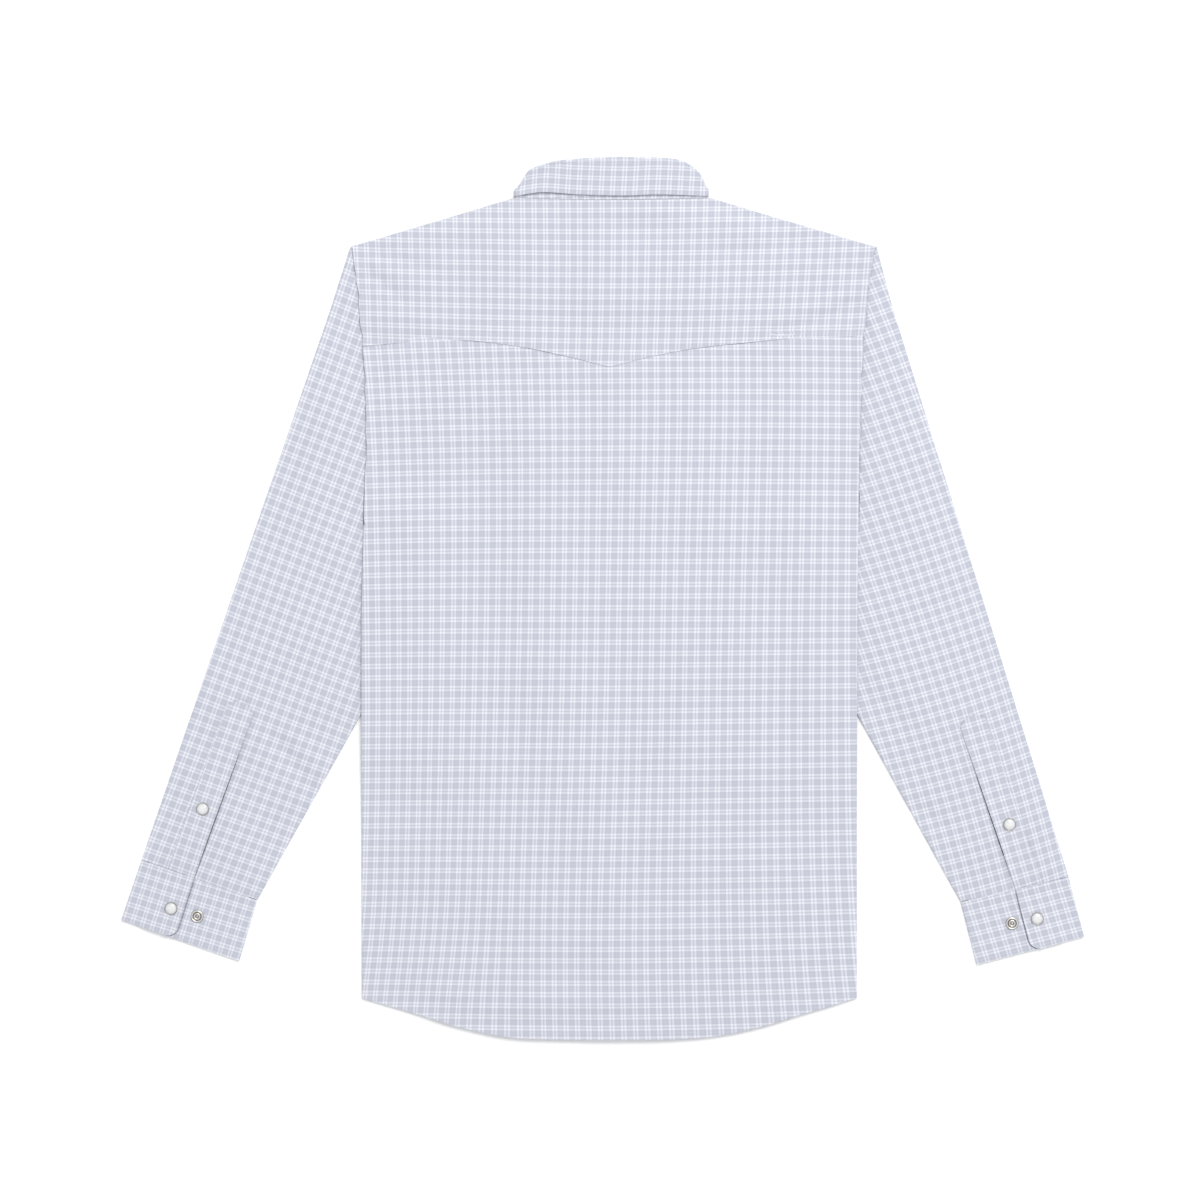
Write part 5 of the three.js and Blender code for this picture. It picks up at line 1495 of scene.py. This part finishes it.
def makeThread():
    material, graph = newMaterial("sewingThread")
    place = graph.node("ShaderNodeTexCoord", {}, {}, 3)
    strands = graph.node("ShaderNodeTexNoise", {}, {"Vector": place, "Scale": 3500.0, "Detail": 2.0})
    tone = graph.node("ShaderNodeMix", {"data_type": "RGBA"}, {
        0: strands, 6: (*[c * 0.88 for c in threadSet["colour"]], 1), 7: (*threadSet["colour"], 1),
    }, 2)
    finishMaterial(graph, {"Base Color": tone, "Roughness": 0.6, "Sheen Weight": 0.2})
    return material


thread = makeThread()


def makeStitchTree():
    tree = bpy.data.node_groups.new("stitchRun", "GeometryNodeTree")
    tree.interface.new_socket("Geometry", in_out="INPUT", socket_type="NodeSocketGeometry")
    for name in ("Spacing", "Length", "Thickness"):
        tree.interface.new_socket(name, in_out="INPUT", socket_type="NodeSocketFloat")
    tree.interface.new_socket("Material", in_out="INPUT", socket_type="NodeSocketMaterial")
    tree.interface.new_socket("Geometry", in_out="OUTPUT", socket_type="NodeSocketGeometry")
    graph = Graph(tree)
    source = tree.nodes.new("NodeGroupInput")
    line, spacing, length, thickness, material = (Wire(graph, source.outputs[i]) for i in range(5))
    curve = graph.node("GeometryNodeMeshToCurve", {}, {0: line})
    evenly = graph.node("GeometryNodeResampleCurve", {"mode": "LENGTH"}, {
        "Curve": curve, "Length": spacing,
    })
    grain = graph.node("GeometryNodeMeshUVSphere", {}, {"Segments": 6, "Rings": 4, "Radius": 0.5})
    size = graph.node("ShaderNodeCombineXYZ", {}, {0: length, 1: thickness, 2: thickness})
    shaped = graph.node("GeometryNodeTransform", {}, {"Geometry": grain, "Scale": size})
    tangent = graph.node("GeometryNodeInputTangent")
    turned = graph.node("FunctionNodeAlignRotationToVector", {"axis": "X"}, {"Vector": tangent})
    placed = graph.node("GeometryNodeInstanceOnPoints", {}, {
        "Points": evenly, "Instance": shaped, "Rotation": turned,
    })
    real = graph.node("GeometryNodeRealizeInstances", {}, {0: placed})
    smooth = graph.node("GeometryNodeSetShadeSmooth", {}, {0: real})
    dressed = graph.node("GeometryNodeSetMaterial", {}, {"Geometry": smooth, "Material": material})
    graph.node("NodeGroupOutput", {}, {0: dressed})
    return tree


stitchTree = makeStitchTree()


def stitchPiece(name, lines):
    points, edges = [], []
    for line in lines:
        start = len(points)
        points.extend(toScene(line).tolist())
        edges.extend((start + step, start + step + 1) for step in range(len(line) - 1))
    mesh = bpy.data.meshes.new(name + "_line")
    mesh.from_pydata(points, edges, [])
    guide = bpy.data.objects.new(name + "_line", mesh)
    bpy.context.scene.collection.objects.link(guide)
    modifier = guide.modifiers.new("stitches", "NODES")
    modifier.node_group = stitchTree
    values = {
        "Spacing": threadSet["spacing"] / 1000, "Length": threadSet["length"] / 1000,
        "Thickness": threadSet["thickness"] / 1000, "Material": thread,
    }
    for item in stitchTree.interface.items_tree:
        if item.in_out == "INPUT" and item.name in values:
            modifier[item.identifier] = values[item.name]
    evaluated = guide.evaluated_get(bpy.context.evaluated_depsgraph_get())
    result = bpy.data.meshes.new_from_object(evaluated)
    bpy.data.objects.remove(guide)
    result.name = name
    piece = bpy.data.objects.new(name, result)
    bpy.context.scene.collection.objects.link(piece)
    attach(piece, "root")


stitchRise = cloth["wall"] / 2 + 0.02


def surfaceLine(x, y, level):
    x, y = np.broadcast_arrays(np.asarray(x, float), np.asarray(y, float))
    return np.stack([x, y, level(x, y) + stitchRise], -1)


def alongRoute(corners, steps):
    return np.concatenate([np.linspace(start, end, steps) for start, end in zip(corners, corners[1:])])


xs = np.linspace(-222, 226, 360)
stitchPiece("stitches_yoke", [
    surfaceLine(xs, yokeSeamAt(xs) + inset, yokeShownAt) for inset in threadSet["seamInsets"]
])
xs = np.linspace(-224, 224, 300)
stitchPiece("stitches_hem", [surfaceLine(xs, hemAt(xs) + threadSet["hemInset"], backShownAt)])
lines = []
for sign in (-1, 1):
    for inset in threadSet["seamInsets"]:
        ys = np.linspace(509, 634, 90)
        lines.append(surfaceLine(sign * (halfWidth(sign, ys) - inset), ys, backShownAt))
        ys = np.linspace(648, 727, 60)
        lines.append(surfaceLine(sign * (halfWidth(sign, ys) - inset), ys, yokeShownAt))
stitchPiece("stitches_armholes", lines)

lines = []
for sideName, side in sides.items():
    length, at = placketLine(side)
    level = placketSurface(sideName)
    width, tip = placketSet["width"], placketSet["tip"]
    rim, bar = threadSet["placketInset"], length - threadSet["barBelowTop"]
    corners = [(4, width - rim), (length + 1, width - rim), (length + tip - 2.3, width / 2),
               (length + 1, rim), (bar, rim)]
    route = alongRoute(corners, 40)
    route = route[np.insert(np.any(np.diff(route, axis=0), axis=1), 0, True)]   # each corner once
    x, y = at(route[:, 0], route[:, 1])
    lines.append(surfaceLine(x, y, level))
    x, y = at(np.full(12, bar), np.linspace(rim, width - rim, 12))
    lines.append(surfaceLine(x, y, level))
stitchPiece("stitches_plackets", lines)

lines = []
for sideName, side in sides.items():
    width, depth = cuffSize(side)
    for inset in threadSet["cuffInsets"]:
        overEnd = side["overlapShare"] - inset / width
        route = [(0.02, inset / depth), (overEnd, inset / depth)]
        if inset < 2:
            route += [(overEnd, 1 - 9 / depth), (overEnd - 3 / width, 1 - 4 / depth),
                      (overEnd - 8.5 / width, 1 - 1.8 / depth), (0.02, 1 - 1.8 / depth)]
        route = alongRoute(route, 30)
        spot = cuffPoint(side, route[:, 0], route[:, 1])
        z = overlapLevel(side, route[:, 0]) + stitchRise + 0.1
        lines.append(np.concatenate([spot, z[:, None]], -1))
        start = side["overlapShare"] + 1.5 / width
        rows = [(start, inset / depth), (0.985, inset / depth)]
        if inset < 2:
            rows = rows + [(0.985, 1 - inset / depth), (start, 1 - inset / depth)]
        rows = alongRoute(rows, 40)
        spot = cuffPoint(side, rows[:, 0], rows[:, 1])
        z = np.full(len(rows), cloth["lowestLayer"] + cloth["layerPitch"] + stitchRise + 0.1)
        lines.append(np.concatenate([spot, z[:, None]], -1))
stitchPiece("stitches_cuffs", lines)
print("stitches made")


# Floor, light and camera

stage = {
    "centre": (-2.55, -1.39),
    "shownWidth": 1104,
    "lens": 100,
    "floor": (0.97, 0.97, 0.97),
    "skyStrength": 0.86,
    "sky": (0.97, 0.98, 1.0),
    "keyPower": 135,
    "keyPlace": (1.3, 2.6, 4.2),
    "keySize": 2.4,
    "keyColour": (1.0, 0.985, 0.96),
    "floorReach": 4,
    "floorLevel": -0.0002,
    "sensor": 36,
    "aimHeight": 0.004,     # height at which the shown width is measured
}


def makeFloor():
    material, graph = newMaterial("paperFloor")
    place = graph.node("ShaderNodeTexCoord", {}, {}, 3)
    soft = graph.node("ShaderNodeTexNoise", {}, {"Vector": place, "Scale": 3.0, "Detail": 2.0})
    tone = graph.node("ShaderNodeMix", {"data_type": "RGBA"}, {
        0: soft, 6: (*[c * 0.995 for c in stage["floor"]], 1), 7: (*stage["floor"], 1),
    }, 2)
    finishMaterial(graph, {"Base Color": tone, "Roughness": 0.95, "Specular IOR Level": 0.1})
    mesh = bpy.data.meshes.new("floor")
    reach = stage["floorReach"]
    corners = [(x * reach, y * reach, stage["floorLevel"]) for x, y in ((-1, -1), (1, -1), (1, 1), (-1, 1))]
    mesh.from_pydata(corners, [], [(0, 1, 2, 3)])
    mesh.materials.append(material)
    floor = bpy.data.objects.new("floor", mesh)
    bpy.context.scene.collection.objects.link(floor)


def makeLight():
    scene = bpy.context.scene
    scene.world = bpy.data.worlds.new("softRoom")
    scene.world.use_nodes = True
    graph = Graph(scene.world.node_tree)
    scene.world.node_tree.nodes.clear()
    sky = graph.node("ShaderNodeBackground", {}, {
        "Color": (*stage["sky"], 1), "Strength": stage["skyStrength"],
    })
    graph.node("ShaderNodeOutputWorld", {}, {"Surface": sky})
    data = bpy.data.lights.new("key", "AREA")
    data.energy = stage["keyPower"]
    data.size = stage["keySize"]
    data.color = stage["keyColour"]
    key = bpy.data.objects.new("key", data)
    key.location = stage["keyPlace"]
    key.rotation_euler = (-Vector(stage["keyPlace"])).to_track_quat("-Z", "Y").to_euler()
    scene.collection.objects.link(key)
    scene.view_settings.view_transform = "Standard"


def makeCamera():
    data = bpy.data.cameras.new("camera")
    data.lens = stage["lens"]
    data.sensor_width = stage["sensor"]
    camera = bpy.data.objects.new("camera", data)
    distance = stage["shownWidth"] / 1000 * stage["lens"] / stage["sensor"]
    camera.location = (stage["centre"][0] / 1000, stage["centre"][1] / 1000, distance + stage["aimHeight"])
    bpy.context.scene.collection.objects.link(camera)
    bpy.context.scene.camera = camera


makeFloor()
makeLight()
makeCamera()
print("stage made")
